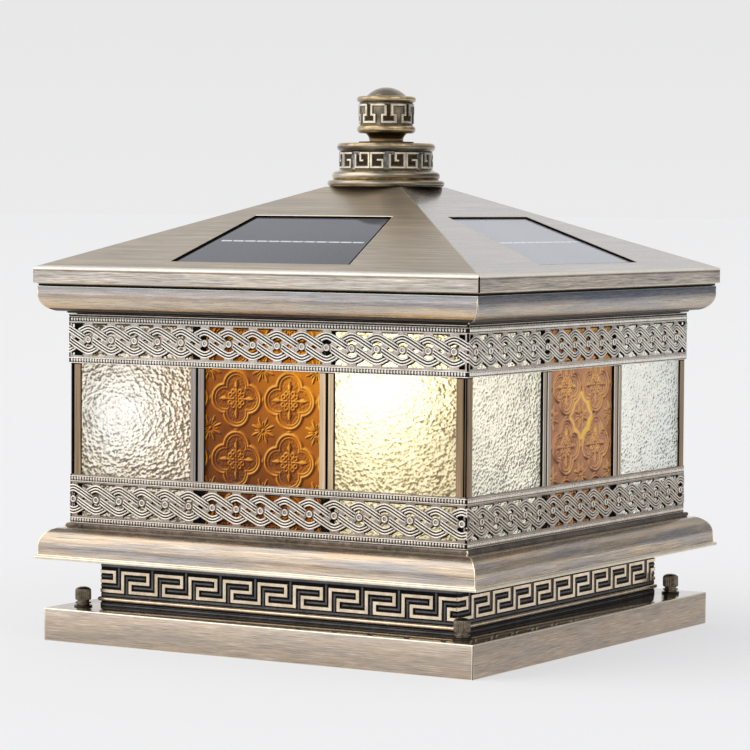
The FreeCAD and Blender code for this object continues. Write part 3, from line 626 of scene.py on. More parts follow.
def slab(b, x0, x1, y0, y1, z0, z1, mat=0, bev=0.0, edge=None):
    """Box with chamfered edges, closed."""
    edge = mat if edge is None else edge
    xs, ys, zs = (x0, x1), (y0, y1), (z0, z1)
    if bev <= 0:
        v = [(x, y, z) for x in xs for y in ys for z in zs]
        f = [(0, 1, 3, 2), (4, 6, 7, 5), (0, 4, 5, 1), (2, 3, 7, 6), (0, 2, 6, 4), (1, 5, 7, 3)]
        b.add(v, f, mat)
        return
    v, idx = [], {}
    for i in (0, 1):
        for j in (0, 1):
            for k in (0, 1):
                si, sj, sk = (1 - 2 * i) * bev, (1 - 2 * j) * bev, (1 - 2 * k) * bev
                idx[i, j, k, 0] = len(v); v.append((xs[i], ys[j] + sj, zs[k] + sk))
                idx[i, j, k, 1] = len(v); v.append((xs[i] + si, ys[j], zs[k] + sk))
                idx[i, j, k, 2] = len(v); v.append((xs[i] + si, ys[j] + sj, zs[k]))
    f, m = [], []
    for s in (0, 1):
        f.append([idx[s, 0, 0, 0], idx[s, 1, 0, 0], idx[s, 1, 1, 0], idx[s, 0, 1, 0]]); m.append(mat)
        f.append([idx[0, s, 0, 1], idx[1, s, 0, 1], idx[1, s, 1, 1], idx[0, s, 1, 1]]); m.append(mat)
        f.append([idx[0, 0, s, 2], idx[1, 0, s, 2], idx[1, 1, s, 2], idx[0, 1, s, 2]]); m.append(mat)
    for p in (0, 1):
        for q in (0, 1):
            f.append([idx[p, q, 0, 0], idx[p, q, 1, 0], idx[p, q, 1, 1], idx[p, q, 0, 1]]); m.append(edge)
            f.append([idx[p, 0, q, 0], idx[p, 1, q, 0], idx[p, 1, q, 2], idx[p, 0, q, 2]]); m.append(edge)
            f.append([idx[0, p, q, 1], idx[1, p, q, 1], idx[1, p, q, 2], idx[0, p, q, 2]]); m.append(edge)
    for i in (0, 1):
        for j in (0, 1):
            for k in (0, 1):
                f.append([idx[i, j, k, 0], idx[i, j, k, 1], idx[i, j, k, 2]]); m.append(edge)
    b.add(v, f, m)


def stroke_sections(path, w, close=False):
    """Left and right edges of a ribbon with mitred corners along (x, z) points."""
    path = np.asarray(path, float)
    n = len(path)
    d = np.diff(path, axis=0)
    d /= np.linalg.norm(d, axis=1)[:, None]
    left, right = [], []
    for i in range(n):
        if i == 0:
            nn = np.array((-d[0][1], d[0][0])); k = 1.0
        elif i == n - 1:
            nn = np.array((-d[-1][1], d[-1][0])); k = 1.0
        else:
            a, b = np.array((-d[i - 1][1], d[i - 1][0])), np.array((-d[i][1], d[i][0]))
            nn = a + b
            nn /= np.linalg.norm(nn)
            k = 1.0 / float(nn @ a)
        left.append(path[i] + nn * w / 2 * k)
        right.append(path[i] - nn * w / 2 * k)
    return np.array(left), np.array(right)


def raised_line(b, path, w, g, top, bev, mat=0, side=0, place=None):
    """Raised line with bevelled flanks. place turns (x, z, height) arrays into points."""
    lo_l, lo_r = stroke_sections(path, w)
    hi_l, hi_r = stroke_sections(path, w - 2 * bev)
    d0 = np.asarray(path[0], float) - np.asarray(path[1], float)
    d0 /= np.linalg.norm(d0)
    d1 = np.asarray(path[-1], float) - np.asarray(path[-2], float)
    d1 /= np.linalg.norm(d1)
    hi_l[0] -= d0 * bev; hi_r[0] -= d0 * bev
    hi_l[-1] -= d1 * bev; hi_r[-1] -= d1 * bev
    hs = (g, top - bev, top, top, top - bev, g)
    cols = [place(c, h) for c, h in zip((lo_l, lo_l, hi_l, hi_r, lo_r, lo_r), hs)]
    pts = np.stack(cols, 1)
    n = len(path)
    table = [[side, side, mat, side, side] for _ in range(n - 1)]
    b.grid(pts, table)
    for e in (0, n - 1):
        ids = pts[e]
        b.add(ids, [(0, 1, 4, 5), (1, 2, 3, 4)], side)


# ============================================================ base tray
SEAM = 2
# rounded edges and the strips beside each mitre take the pale edge material, a painted highlight
tray = ring(
    [
        (108, 20.0, 3, 0.3), (150, 20.0, 0, 0.85), (150, 0.0, 0, 0.3), (148.5, 0.0, 0, 0.0), (148.5, 18.5, 0, 0.0), (108, 18.5, 3, 0.0),
    ],
    seam=(0.42, 1.1, 0.45), only=lambda h, z: z < 19.3 and h > 149.0,
)
to_object("base_tray_sheet", tray, ["sheet", "edge", "seam", "top"], "lantern", ["base_tray"])

# ============================================================ thumb screws
def lathe(b, prof, mats, steps, x=0.0, y=0.0, wave=None, close=True):
    """prof: (r, z) points from the axis to the axis or closed; wave(angle array, k) scales the radius of ring k."""
    prof = np.asarray(prof, float)
    a = np.linspace(0, 2 * math.pi, steps, endpoint=False)
    pts = np.zeros((len(prof), steps, 3))
    for k, (r, z) in enumerate(prof):
        rr = r * (wave(a, k, z) if wave is not None else 1.0)
        pts[k, :, 0] = x + rr * np.cos(a)
        pts[k, :, 1] = y + rr * np.sin(a)
        pts[k, :, 2] = z
    table = [[m] * steps for m in mats]
    b.grid(pts, table, close_v=True)


def knurl(a, k, z):
    if 24.6 <= z <= 30.6:
        return 1.0 - 0.085 * (0.5 + 0.5 * np.cos(24 * a))
    return np.ones_like(a)


CORNERS = (("fl", -1, -1), ("fr", 1, -1), ("br", 1, 1), ("bl", -1, 1))
for cname, sx, sy in CORNERS:
    x, y = sx * 133.0, sy * 133.0
    b = Build()
    prof = [(0.0, 5.0), (2.5, 5.0), (2.9, 5.5)]
    z = 5.5
    while z < 20.4:
        prof += [(2.9, z + 0.3), (2.62, z + 0.5), (2.9, z + 0.7)]
        z += 1.0
    prof += [(2.9, 21.02), (3.9, 21.04), (4.0, 21.2), (4.0, 21.9), (4.2, 22.05), (4.75, 22.1), (4.85, 22.3), (4.85, 22.75), (4.7, 23.0), (3.75, 23.1),
             (3.7, 23.6), (3.75, 24.15), (4.55, 24.25), (4.85, 24.6), (4.9, 25.2), (4.9, 26.4), (4.9, 27.6), (4.9, 28.8), (4.9, 29.8), (4.75, 30.5), (4.45, 31.0),
             (3.9, 31.45), (3.4, 31.7), (2.6, 32.0), (1.6, 32.2), (0.7, 32.29), (0.0, 32.3)]
    lathe(b, prof, [0] * (len(prof) - 1), 112, x, y, wave=knurl)
    to_object("thumb_screw_knurled_" + cname, b, ["screw"], "thumb_screw_" + cname, ["thumb_screw_" + cname], angle=24)
    b = Build()
    prof = [(3.3, 20.0), (5.3, 20.0), (5.6, 20.2), (5.6, 20.75), (5.35, 20.95), (3.5, 21.0), (3.3, 20.9)]
    lathe(b, prof + prof[:1], [0] * len(prof), 64, x, y)
    to_object("thumb_washer_turned_" + cname, b, ["washer"], "thumb_washer_" + cname, ["thumb_washer_" + cname])

# ============================================================ plinth and meander
FR = 125.2
fret = ring(
    [
        (123.32, 20.0, 0), (125.6, 20.0, 0, 0.25), (125.6, 22.4, 0, 0.3), (FR, 22.4, 0), (FR, 23.3, 2),
        ("arc", (126.8, 24.65), 8, 2), (FR, 26.0, 0), (FR, 49.95, 0), (123.32, 49.95, 0),
    ],
    seam=(0.2, 0.25, 0.2), seam_mats=(0, 0),
)


def front_at(half):
    return lambda c, h: np.stack([c[:, 0], -(half + np.full(len(c), h)), c[:, 1]], 1)


lo, mid, hi = 29.75, 35.6, 41.4
W = 2.15
front = Build()
lim = 125.0


def clipped(path, lo_x, hi_x):
    """Cuts a path of (x, z) points at two x limits; returns its pieces."""
    out, cur = [], []
    for (xa, za), (xb, zb) in zip(path[:-1], path[1:]):
        ts = [0.0, 1.0]
        if abs(xb - xa) > 1e-9:
            for lx in (lo_x, hi_x):
                t = (lx - xa) / (xb - xa)
                if 0 < t < 1:
                    ts.append(t)
        ts.sort()
        for t0, t1 in zip(ts[:-1], ts[1:]):
            tm = (t0 + t1) / 2
            inside = lo_x <= xa + (xb - xa) * tm <= hi_x
            p0 = (xa + (xb - xa) * t0, za + (zb - za) * t0)
            p1 = (xa + (xb - xa) * t1, za + (zb - za) * t1)
            if inside:
                if not cur:
                    cur = [p0]
                cur.append(p1)
            elif cur:
                out.append(cur)
                cur = []
    if cur:
        out.append(cur)
    return out


path = []
for k in range(-2, 11):
    x = -109.76 + 24.8 * k + W / 2
    path += [(x, lo), (x, hi), (x + 18.7, hi), (x + 18.7, mid), (x + 5.5, mid), (x + 5.5, lo)]
path = [p for i, p in enumerate(path) if i == 0 or p != path[i - 1]]
for piece in clipped(path, -lim, lim):
    raised_line(front, piece, W, -0.2, 0.95, 0.22, mat=2, side=2, place=front_at(FR))
for k in range(-2, 11):
    x0 = -109.76 + 24.8 * k
    for p in ([(x0 + 22.85, 44.3), (x0 + 22.85, 32.7), (x0 + 9.0, 32.7)], [(x0 + 3.85, 28.0), (x0 + 3.85, 38.5), (x0 + 17.4, 38.5)]):
        for piece in clipped(p, -lim, lim):
            if abs(piece[0][0] - piece[-1][0]) + abs(piece[0][1] - piece[-1][1]) > 1.0:
                raised_line(front, piece, 1.35, -0.2, 0.6, 0.3, mat=1, side=1, place=front_at(FR))
for z, w in ((45.3, 2.0), (27.25, 1.5)):
    raised_line(front, [(-lim, z), (lim, z)], w, -0.2, 0.5, 0.3, mat=1, side=1, place=front_at(FR))
raised_line(front, [(-lim, 21.2), (lim, 21.2)], 1.1, 0.2, 0.72, 0.2, mat=1, side=1, place=front_at(FR))
fret.merge(four_sides(front))
to_object("plinth_meander", fret, ["fret_dark", "fret_grey", "line"], "lantern", ["plinth_fret"], angle=28)

# ============================================================ lower cornice
# lip and top flat in pale edge strips, painted highlight; the bead under the band and the undersides dark, painted
# shade
cornice = ring(
    [
        (112, 50.0, 4), (154.8, 50.0, 5, 0.45), (154.8, 51.6, 5, 0.45), (153.1, 52.2, 0, 0.5), (152.9, 57.5, 0),
        ("arc", (150.3, 64.8), 22, 0), (144.0, 68.5, 1), (140.6, 68.5, 6), (140.6, 69.0, 6),
        ("arc", (141.2, 70.2), 8, 6), (140.6, 71.4, 6), (130, 71.4, 0), (130, 70.2, 0), (139.4, 70.2, 0),
        (139.4, 67.3, 4), (143.6, 67.3, 4), ("arc", (149.2, 64.1), 10, 4), (151.7, 57.5, 4), (151.7, 51.2, 4), (112, 51.2, 4),
    ],
    seam=(0.22, 0.4, 0.55), only=lambda h, z: h > 139.5,
)
to_object("lower_cornice_moulding", cornice, ["cornice", "edge", "seam", "band", "under", "roof_edge", "bead_dark"], "lantern", ["lower_cornice"], angle=28)

# ============================================================ upper cornice
# the bead and the foot of the quarter round dark, painted shade; the top under the fascia black, painted shadow
cornice = ring(
    [
        (130, 198.9, 4), (139.9, 198.9, 4), ("arc", (140.5, 199.55), 6, 4), (139.9, 200.2, 4), (145.0, 200.2, 4),
        ("arc", (146.992, 200.874), 8, 4), (148.812, 201.934, 0), ("arc", (152.321, 206.378), 18, 0), (153.0, 212.0, 0), (153.0, 215.3, 2, 0.25), (146, 215.3, 2), (146, 214.2, 0),
        (151.8, 214.2, 0), (151.8, 212.0, 0), ("arc", (149.8, 204.7), 10, 0), (145.0, 201.4, 0), (138.8, 201.4, 0),
        (138.8, 199.8, 0), (130, 199.8, 0),
    ],
    seam=(0.22, 0.4, 0.55), only=lambda h, z: h > 139.5 and z < 215.0,
)
to_object("upper_cornice_moulding", cornice, ["cornice_up", "edge", "seam", "band", "under"], "lantern", ["upper_cornice"], angle=28)

# ============================================================ pierced bands
PITCH = 17.0
OFFS = 1.65
K, SL = 2.6, 0.56


def zc(x):
    return 6.9 - SL * (np.sqrt(np.asarray(x, float) ** 2 + K * K) - K)


def slope(x):
    x = np.asarray(x, float)
    return -SL * x / np.sqrt(x * x + K * K)


def offset_line(off, x0=-9.5, x1=15.5, step=0.3):
    x = np.arange(x0, x1 + 1e-9, step)
    s = slope(x)
    ln = np.sqrt(1 + s * s)
    return np.stack([x - s / ln * off, zc(x) + off / ln], 1)


def behind(p):
    """Distance of points above the strand that comes down from the eyelet on the left."""
    q = p[:, 0] + PITCH
    return (p[:, 1] - zc(q)) / np.sqrt(1 + slope(q) ** 2)


def trimmed(p, cut, reach):
    """Part of a strand line between the strand that covers it and the next eyelet."""
    f = np.minimum(behind(p) - cut, np.hypot(p[:, 0] - PITCH, p[:, 1]) - reach)
    ok = np.where(f > 0)[0]
    mids = ok[(p[ok, 0] > -4) & (p[ok, 0] < 4)]
    a = b = mids[0]
    while a - 1 >= 0 and f[a - 1] > 0:
        a -= 1
    while b + 1 < len(p) and f[b + 1] > 0:
        b += 1
    out = [p[i] for i in range(a, b + 1)]
    if a > 0:
        t = f[a] / (f[a] - f[a - 1])
        out.insert(0, p[a] + (p[a - 1] - p[a]) * t)
    if b < len(p) - 1:
        t = f[b] / (f[b] - f[b + 1])
        out.append(p[b] + (p[b + 1] - p[b]) * t)
    return np.array(out)


def clip_x(p, limit):
    """Part of a polyline inside |x| <= limit (it crosses each limit once at most)."""
    keep = []
    for a, b in zip(p[:-1], p[1:]):
        ina, inb = abs(a[0]) <= limit, abs(b[0]) <= limit
        if ina and not keep:
            keep.append(a)
        if ina != inb:
            lx = limit if max(a[0], b[0]) > limit else -limit
            keep.append(a + (b - a) * (lx - a[0]) / (b[0] - a[0]))
        if inb:
            keep.append(b)
    return np.array(keep) if len(keep) >= 3 else None


def tube(b, p, width, height, base, half, fade_start=False, fade_end=True, mat=0):
    """Half-round ridge along (x, z) points on a face at y = -(half + base)."""
    n = len(p)
    d = np.gradient(p, axis=0)
    d /= np.linalg.norm(d, axis=1)[:, None] + 1e-12
    nn = np.stack([-d[:, 1], d[:, 0]], 1)
    s = np.concatenate([[0], np.cumsum(np.linalg.norm(np.diff(p, axis=0), axis=1))])
    hs, ws = np.ones(n), np.ones(n)
    if fade_end:
        t = np.clip((s[-1] - s) / 3.2, 0, 1)
        hs = 0.25 + 0.75 * t * (2 - t)
        ws = 0.7 + 0.3 * t
    pts_c = [p[0] - d[0] * 0.22] + list(p) + [p[-1] + d[-1] * 0.2]
    nn_c = [nn[0]] + list(nn) + [nn[-1]]
    hs = np.concatenate([[hs[0] * 0.35], hs, [hs[-1] * 0.3]])
    ws = np.concatenate([[ws[0] * 0.45], ws, [ws[-1] * 0.45]])
    hs[1] *= 0.92
    ang = np.radians([0, 32, 62, 90, 118, 148, 180])
    rows = []
    for c, q, h, w in zip(pts_c, nn_c, hs, ws):
        row = [(c[0] + q[0] * w * width / 2, -(half + base - 0.12), c[1] + q[1] * w * width / 2)]
        for a in ang:
            off = math.cos(a) * width / 2 * w
            row.append((c[0] + q[0] * off, -(half + base + math.sin(a) * height * h), c[1] + q[1] * off))
        row.append((c[0] - q[0] * w * width / 2, -(half + base - 0.12), c[1] - q[1] * w * width / 2))
        rows.append(row)
    rows = np.array(rows)
    b.grid(rows, mat, close_v=True)
    m = rows.shape[1]
    b.add(rows[0], [tuple(range(m))], mat)
    b.add(rows[-1], [tuple(range(m))[::-1]], mat)


def strip(b, left, right, base, top, half, mat=0, side=0):
    pts = []
    for l, r in zip(left, right):
        pts.append([(l[0], -(half + base), l[1]), (l[0], -(half + top), l[1]), (r[0], -(half + top), r[1]), (r[0], -(half + base), r[1])])
    pts = np.array(pts)
    b.grid(pts, [[side, mat, side]] * (len(pts) - 1), close_v=False)
    b.grid(pts[:, [3, 0]], side)
    b.add(pts[0], [(0, 1, 2, 3)], side)
    b.add(pts[-1], [(3, 2, 1, 0)], side)


RIDGES = [(off, trimmed(offset_line(off), 2.95, reach)) for off, reach in ((OFFS, 3.5), (0.0, 3.2), (-OFFS, 3.7))]
RIB_L, RIB_R = offset_line(2.2), offset_line(-2.15)
okr = (behind(offset_line(0.0)) > 2.55) & (np.hypot(offset_line(0.0)[:, 0] - PITCH, offset_line(0.0)[:, 1]) > 3.3) & (offset_line(0.0)[:, 0] > -8.6)
RIB = np.where(okr)[0]
RIB = RIB[(np.abs(offset_line(0.0)[RIB, 0]) < 15)]
RIB = np.arange(RIB.min(), RIB.max() + 1)


def skew_cut(line, cut):
    """Moves the left end of a ribbon's edge onto the strand that covers it."""
    f = behind(line) - cut
    ok = [i for i in RIB if f[i] > 0 or line[i, 0] > -1.5]
    return np.array(ok)


# hole outlines, relative to an eyelet at (0, 0)
def hole_lines():
    inner = offset_line(-OFFS - 0.56, -6, 6, 0.35)
    top = [tuple(p) for p in inner if abs(p[0]) <= 3.15]
    moon = top + [(3.35, 2.95), (2.6, 2.3), (1.8, 1.85)] + [(2.5 * math.sin(math.radians(t)), 2.5 * math.cos(math.radians(t)) - 0.45) for t in (34, 17, 0, -17, -34)]
    moon += [(-1.8, 1.85), (-2.6, 2.3), (-3.35, 2.95)]
    up = offset_line(OFFS + 0.55, -9.5, 15.5, 0.4)
    desc = [tuple(p) for p in up if 2.95 <= p[0] <= 8.9]
    asc = [tuple((p[0] + PITCH, p[1])) for p in up if -7.3 <= p[0] <= -2.95]
    tri = [(2.95, 9.85)] + desc + [(9.15, 6.05)] + [q for q in asc if q[0] > 9.4] + [(14.05, 9.85)]
    diamond = [(6.15, 0.1), (6.45, 0.45), (8.0, 1.5), (8.4, 1.5), (10.6, 0.2), (10.85, -0.1), (10.55, -0.45), (9.0, -1.5), (8.6, -1.5), (6.4, -0.2)]
    return moon, tri, diamond


MOON, TRI, DIA = hole_lines()


def simple_cut(poly, limit):
    """Convex-ish clip of a closed outline to |x| <= limit."""
    for sgn in (1, -1):
        out = []
        n = len(poly)
        for i in range(n):
            a, b = poly[i], poly[(i + 1) % n]
            ia, ib = sgn * a[0] <= limit, sgn * b[0] <= limit
            if ia:
                out.append(a)
            if ia != ib:
                t = (sgn * limit - a[0]) / (b[0] - a[0])
                out.append((sgn * limit, a[1] + (b[1] - a[1]) * t))
        poly = out
        if len(poly) < 3:
            return None
    xs = [p[0] for p in poly]
    return poly if max(xs) - min(xs) > 0.5 else None


def mirrored(poly):
    return [(-x, -z) for x, z in poly][::1]


def make_band(name, half, z0, z1, zmid, firsts, node):
    """One pierced strip: plate with true holes, woven three-ridge strands, eyelets and bead rows."""
    plate_front = half - 0.75
    plate_back = plate_front - 0.95
    for start, sides in ((firsts[0], (0, 180)), (firsts[1], (90, 270))):
        b = Build()
        limit = half - 0.55
        centres = [start + PITCH * k for k in range(-2, 18)]
        outer = [(-half + 0.75, z0 - zmid), (half - 0.75, z0 - zmid), (half - 0.75, z1 - zmid), (-half + 0.75, z1 - zmid)]
        holes = []
        for c in centres:
            for poly in (MOON, mirrored(MOON), TRI, [(PITCH - x, -z) for x, z in TRI], DIA):
                q = simple_cut([(x + c, z) for x, z in poly], limit - 2.2)
                if q is not None:
                    holes.append(q)
        loops = [[Vector((x, z, 0)) for x, z in outer]] + [[Vector((x, z, 0)) for x, z in h] for h in holes]
        tris = tessellate_polygon(loops)
        flat = np.array([(v.x, v.y) for lp in loops for v in lp])
        fr = np.stack([flat[:, 0], np.full(len(flat), -plate_front), flat[:, 1]], 1)
        bk = np.stack([flat[:, 0], np.full(len(flat), -plate_back), flat[:, 1]], 1)
        # the holes' back outlines sit lower, so a dark upper wall shows in each: a painted shadow
        bk[len(outer):, 2] -= 0.78
        n = len(flat)
        faces = [tuple(t) for t in tris] + [tuple(n + i for i in t[::-1]) for t in tris]
        mats = [0] * len(tris) + [2] * len(tris)
        at = 0
        for lp in loops:
            m = len(lp)
            for i in range(m):
                j = (i + 1) % m
                faces.append((at + i, at + j, n + at + j, n + at + i))
                mats.append(2)
            at += m
        b.add(np.concatenate([fr, bk]), faces, mats)
        for c in centres:
            for sgn in (1, -1):
                # dark ribbon under the three ridges
                li, ri = skew_cut(RIB_L, 2.6), skew_cut(RIB_R, 2.6)
                i0 = max(min(li.min(), ri.min()), 0)
                i1 = min(li.max(), ri.max())
                l = RIB_L[i0:i1 + 1] * sgn + (c, 0)
                r = RIB_R[i0:i1 + 1] * sgn + (c, 0)
                m = (np.abs(l[:, 0]) < limit) & (np.abs(r[:, 0]) < limit)
                if m.sum() > 3:
                    ids = np.where(m)[0]
                    strip(b, l[ids.min():ids.max() + 1], r[ids.min():ids.max() + 1], -0.05, 0.06, plate_front, mat=2, side=2)
                for off, line in RIDGES:
                    p = clip_x(line * sgn + (c, 0), limit)
                    if p is not None:
                        full = abs(p[-1][0] - (line[-1][0] * sgn + c)) < 1e-6
                        tube(b, p, 1.02, 0.62, 0.06, plate_front, fade_end=full, mat=1)
            if abs(c) + 2.4 < half - 0.3:
                prof = [(2.55, -0.05), (2.55, 0.05), (2.15, 0.06), (2.1, 0.3), (1.92, 0.6), (1.62, 0.72), (1.3, 0.6), (1.08, 0.3), (1.02, -0.1),
                        (0.36, -0.1), (0.32, 0.12), (0.2, 0.24), (0.0, 0.28)]
                mats = [2, 2, 1, 1, 1, 1, 1, 2, 2, 1, 1, 1]
                a = np.linspace(0, 2 * math.pi, 28, endpoint=False)
                pts = np.zeros((len(prof), 28, 3))
                for k, (r, h) in enumerate(prof):
                    pts[k, :, 0] = c + r * np.cos(a)
                    pts[k, :, 1] = -(plate_front + h)
                    pts[k, :, 2] = r * np.sin(a)
                b.grid(pts, [[m] * 28 for m in mats], close_v=True)
        # bead rows on dark channels, with a thin rim each side
        high = name.endswith("upper")
        if high:
            # shadow line under the strip's upper lip
            strip(b, np.array([(-half + 0.8, 14.62), (half - 0.8, 14.62)]), np.array([(-half + 0.8, 13.9), (half - 0.8, 13.9)]), -0.05, 0.05, plate_front, mat=2, side=2)
        for zb in (-12.75, 12.15 if high else 12.5):
            sl = [(-half + 0.8, zb + 1.2), (half - 0.8, zb + 1.2)]
            sr = [(-half + 0.8, zb - 1.2), (half - 0.8, zb - 1.2)]
            strip(b, np.array(sl), np.array(sr), -0.05, 0.05, plate_front, mat=2, side=2)
            count = int((2 * half - 2.4) // 2)
            x0 = -(count - 1)
            for k in range(count):
                xb = x0 + 2.0 * k
                if abs(xb) > half - 1.3:
                    continue
                u = np.radians(np.arange(0, 360, 36))
                rows = []
                for e in (0, 28, 55, 78):
                    ce, se = math.cos(math.radians(e)), math.sin(math.radians(e))
                    rows.append(np.stack([xb + 0.7 * ce * np.cos(u), np.full(len(u), -(plate_front + 0.03 + 0.8 * se)), zb + 0.12 + 1.2 * ce * np.sin(u)], 1))
                b.grid(np.array(rows), 1, close_v=True)
                b.add(rows[-1], [tuple(range(len(u)))], 1)
            for ze in (zb + 1.5, zb - 1.5):
                tube(b, np.array([(x, ze) for x in np.linspace(-half + 1.0, half - 1.0, 5)]), 0.55, 0.42, 0.0, plate_front, fade_end=False, mat=1)
        for deg in sides:
            full = Build()
            full.merge(b, deg)
            shifted = Build()
            shifted.merge(full, 0, (0, 0, zmid))
            label = {0: "front", 180: "back", 90: "right", 270: "left"}[deg]
            # the lower band takes darker copies of the band and ridge materials: painted shade
            to_object("%s_%s" % (name, label), shifted, ["band_low", "ridge_low", "groove"] if name.endswith("lower") else ["band", "ridge", "groove"], "lantern", [node], angle=38, merge=False)


make_band("pierced_band_lower", 139.4, 71.45, 101.15, 86.1, (-136.3, -121.5), "lower_band")
make_band("pierced_band_upper", 140.0, 168.85, 198.3, 183.2, (-124.8, -130.9), "upper_band")

# ============================================================ window frames
def bar(b, x0, x1, yf, yb, z0, z1, face, wall, edge=1, bev=0.28):
    """Upright flat bar: face towards -y, small bevels, plain walls and back."""
    sec = [(x0, yb), (x0, yf + bev), (x0 + bev, yf), (x1 - bev, yf), (x1, yf + bev), (x1, yb)]
    pts = np.array([[(x, y, z) for x, y in sec] for z in (z0, z1)])
    b.grid(pts, [[wall, edge, face, edge, wall, wall]], close_v=True)
    b.add(pts[0], [(5, 4, 3, 2, 1, 0)], wall)
    b.add(pts[1], [(0, 1, 2, 3, 4, 5)], wall)


ZB, ZT = 101.2, 168.8


def frame_side(kind):
    b = Build()
    posts = (131.2, 135.9) if kind == "front" else (132.4, 138.2)
    # side frames: the bevels of the mullion strips take the pale edge material, a painted highlight
    bevel_highlight = 0 if kind == "front" else 1
    for sx in (-1, 1):
        # mullion strips; their walls and backs are black, painted shade
        for xa, xb in ((40.4, 44.6), (46.3, 50.0)):
            # front and back frames: the left strips in painted shade, the right ones in painted warm lamplight from the
            # pane beside them
            face_ = 0 if kind != "front" else (4 if sx < 0 else 5)
            bar(b, *sorted((sx * xa, sx * xb)), -139.3, -137.2, ZB, ZT - 0.6, face_, 2, bevel_highlight if bevel_highlight else face_)
        # black slot between the two strips and the web behind it: painted shade
        slab(b, *sorted((sx * 44.5, sx * 46.4)), -137.6, -134.6, 72.0, 198.0, 2)
        slab(b, *sorted((sx * 45.0, sx * 45.8)), -134.6, -130.0, 73.0, 197.0, 2)
        # black cap on the strips just under the upper band: painted shadow
        slab(b, *sorted((sx * 40.5, sx * 49.9)), -139.2, -137.7, ZT - 0.6, ZT, 2)
        # post; its walls and back are black, painted shade
        bar(b, *sorted((sx * posts[0], sx * posts[1])), -138.6, -137.2, ZB, ZT - 0.8, 3, 2, 3)
        # black cap on the post just under the upper band: painted shadow
        slab(b, *sorted((sx * posts[0], sx * posts[1])), -138.5, -137.3, ZT - 0.8, ZT, 2)
        # black return behind the post: painted shade
        slab(b, *sorted((sx * 133.7, sx * 135.6)), -137.1, -134.2, 71.6, 198.4, 2)
        # black backing of the pierced strips where a post or a mullion stands behind them, painted shade behind the
        # bands
        for za, zb in ((71.6, ZB - 0.1), (ZT + 0.1, 198.4)):
            slab(b, *sorted((sx * 40.6, sx * 49.8)), -137.15, -136.4, za, zb, 2)
            slab(b, *sorted((sx * 131.0, sx * 136.6)), -137.15, -136.4, za, zb, 2)
    # black strips that close the glazing channel above and below the panes, painted shade in the channel
    slab(b, -134.4, 134.4, -137.0, -134.6, 198.15, 200.1, 2)
    slab(b, -134.4, 134.4, -137.0, -134.6, 69.6, 71.85, 2)
    return b


SIDES = (("front", 0), ("right", 90), ("back", 180), ("left", 270))
for label, deg in SIDES:
    f = Build()
    f.merge(frame_side("front" if label in ("front", "back") else "side"), deg)
    c = Build()
    # angle behind the open corner, dark, with the bright cut edge of one flange
    slab(c, 135.7, 136.3, -136.3, -135.7, 71.6, 198.4, 3)
    if label in ("front", "back"):
        slab(c, 136.55, 136.95, -137.6, -137.1, ZB, ZT - 1.0, 3)
    f.merge(c, deg)
    to_object("window_frame_pressed_" + label, f, ["post", "edge", "seam", "post_dark", "mull_cool", "mull_warm"], "lantern", ["window_frame_" + label], angle=25, merge=False)


# ============================================================ glass
def smooth_noise(shape, cell, seed):
    """Smooth random field from a coarse random grid."""
    rng = np.random.default_rng(seed)
    ny, nx = shape
    gy, gx = int(ny / cell) + 4, int(nx / cell) + 4
    g = rng.standard_normal((gy, gx))
    y, x = np.arange(ny) / cell + 1, np.arange(nx) / cell + 1
    iy, ix = y.astype(int), x.astype(int)
    fy, fx = y - iy, x - ix
    fy, fx = fy * fy * (3 - 2 * fy), fx * fx * (3 - 2 * fx)
    a = g[np.ix_(iy, ix)] * (1 - fx) + g[np.ix_(iy, ix + 1)] * fx
    c = g[np.ix_(iy + 1, ix)] * (1 - fx) + g[np.ix_(iy + 1, ix + 1)] * fx
    return a * (1 - fy)[:, None] + c * fy[:, None]


def cells(X, Z, px, pz, seed):
    """Distance, in cells, to the nearest of jittered points."""
    rng = np.random.default_rng(seed)
    u, w = (X - X.min()) / px + 2, (Z - Z.min()) / pz + 2
    nx, nz = int(u.max()) + 4, int(w.max()) + 4
    jx = rng.uniform(-0.46, 0.46, (nz, nx))
    jz = rng.uniform(-0.46, 0.46, (nz, nx))
    iu, iw = np.floor(u).astype(int), np.floor(w).astype(int)
    d1 = np.full(X.shape, 9.0)
    for a in (-1, 0, 1):
        for c in (-1, 0, 1):
            p, q = iu + a, iw + c
            qx = p + 0.5 + jx[q.clip(0, nz - 1), p.clip(0, nx - 1)]
            qz = q + 0.5 + jz[q.clip(0, nz - 1), p.clip(0, nx - 1)]
            d1 = np.minimum(d1, np.hypot(u - qx, w - qz))
    return d1


def hammered(X, Z, seed):
    """Dimpled sheet: slanting oval dimples in two sizes."""
    sx, sz = X + 0.25 * Z, Z - 0.15 * X
    warp = smooth_noise(X.shape, 9, seed + 3) * 0.5
    a = cells(sx + warp, sz, 3.5, 2.7, seed)
    c = cells(sx, sz + warp, 2.1, 1.6, seed + 50)
    h = 0.40 * (1 - np.clip(a / 0.8, 0, 1) ** 1.6) + 0.22 * (1 - np.clip(c / 0.8, 0, 1) ** 1.6)
    return h + 0.05 * smooth_noise(h.shape, 3, seed + 9), cells(sx, sz, 4.6, 3.6, seed + 70)


PX, PZ, LOBE_C, LOBE_R = 37.2, 35.8, 8.2, 9.0


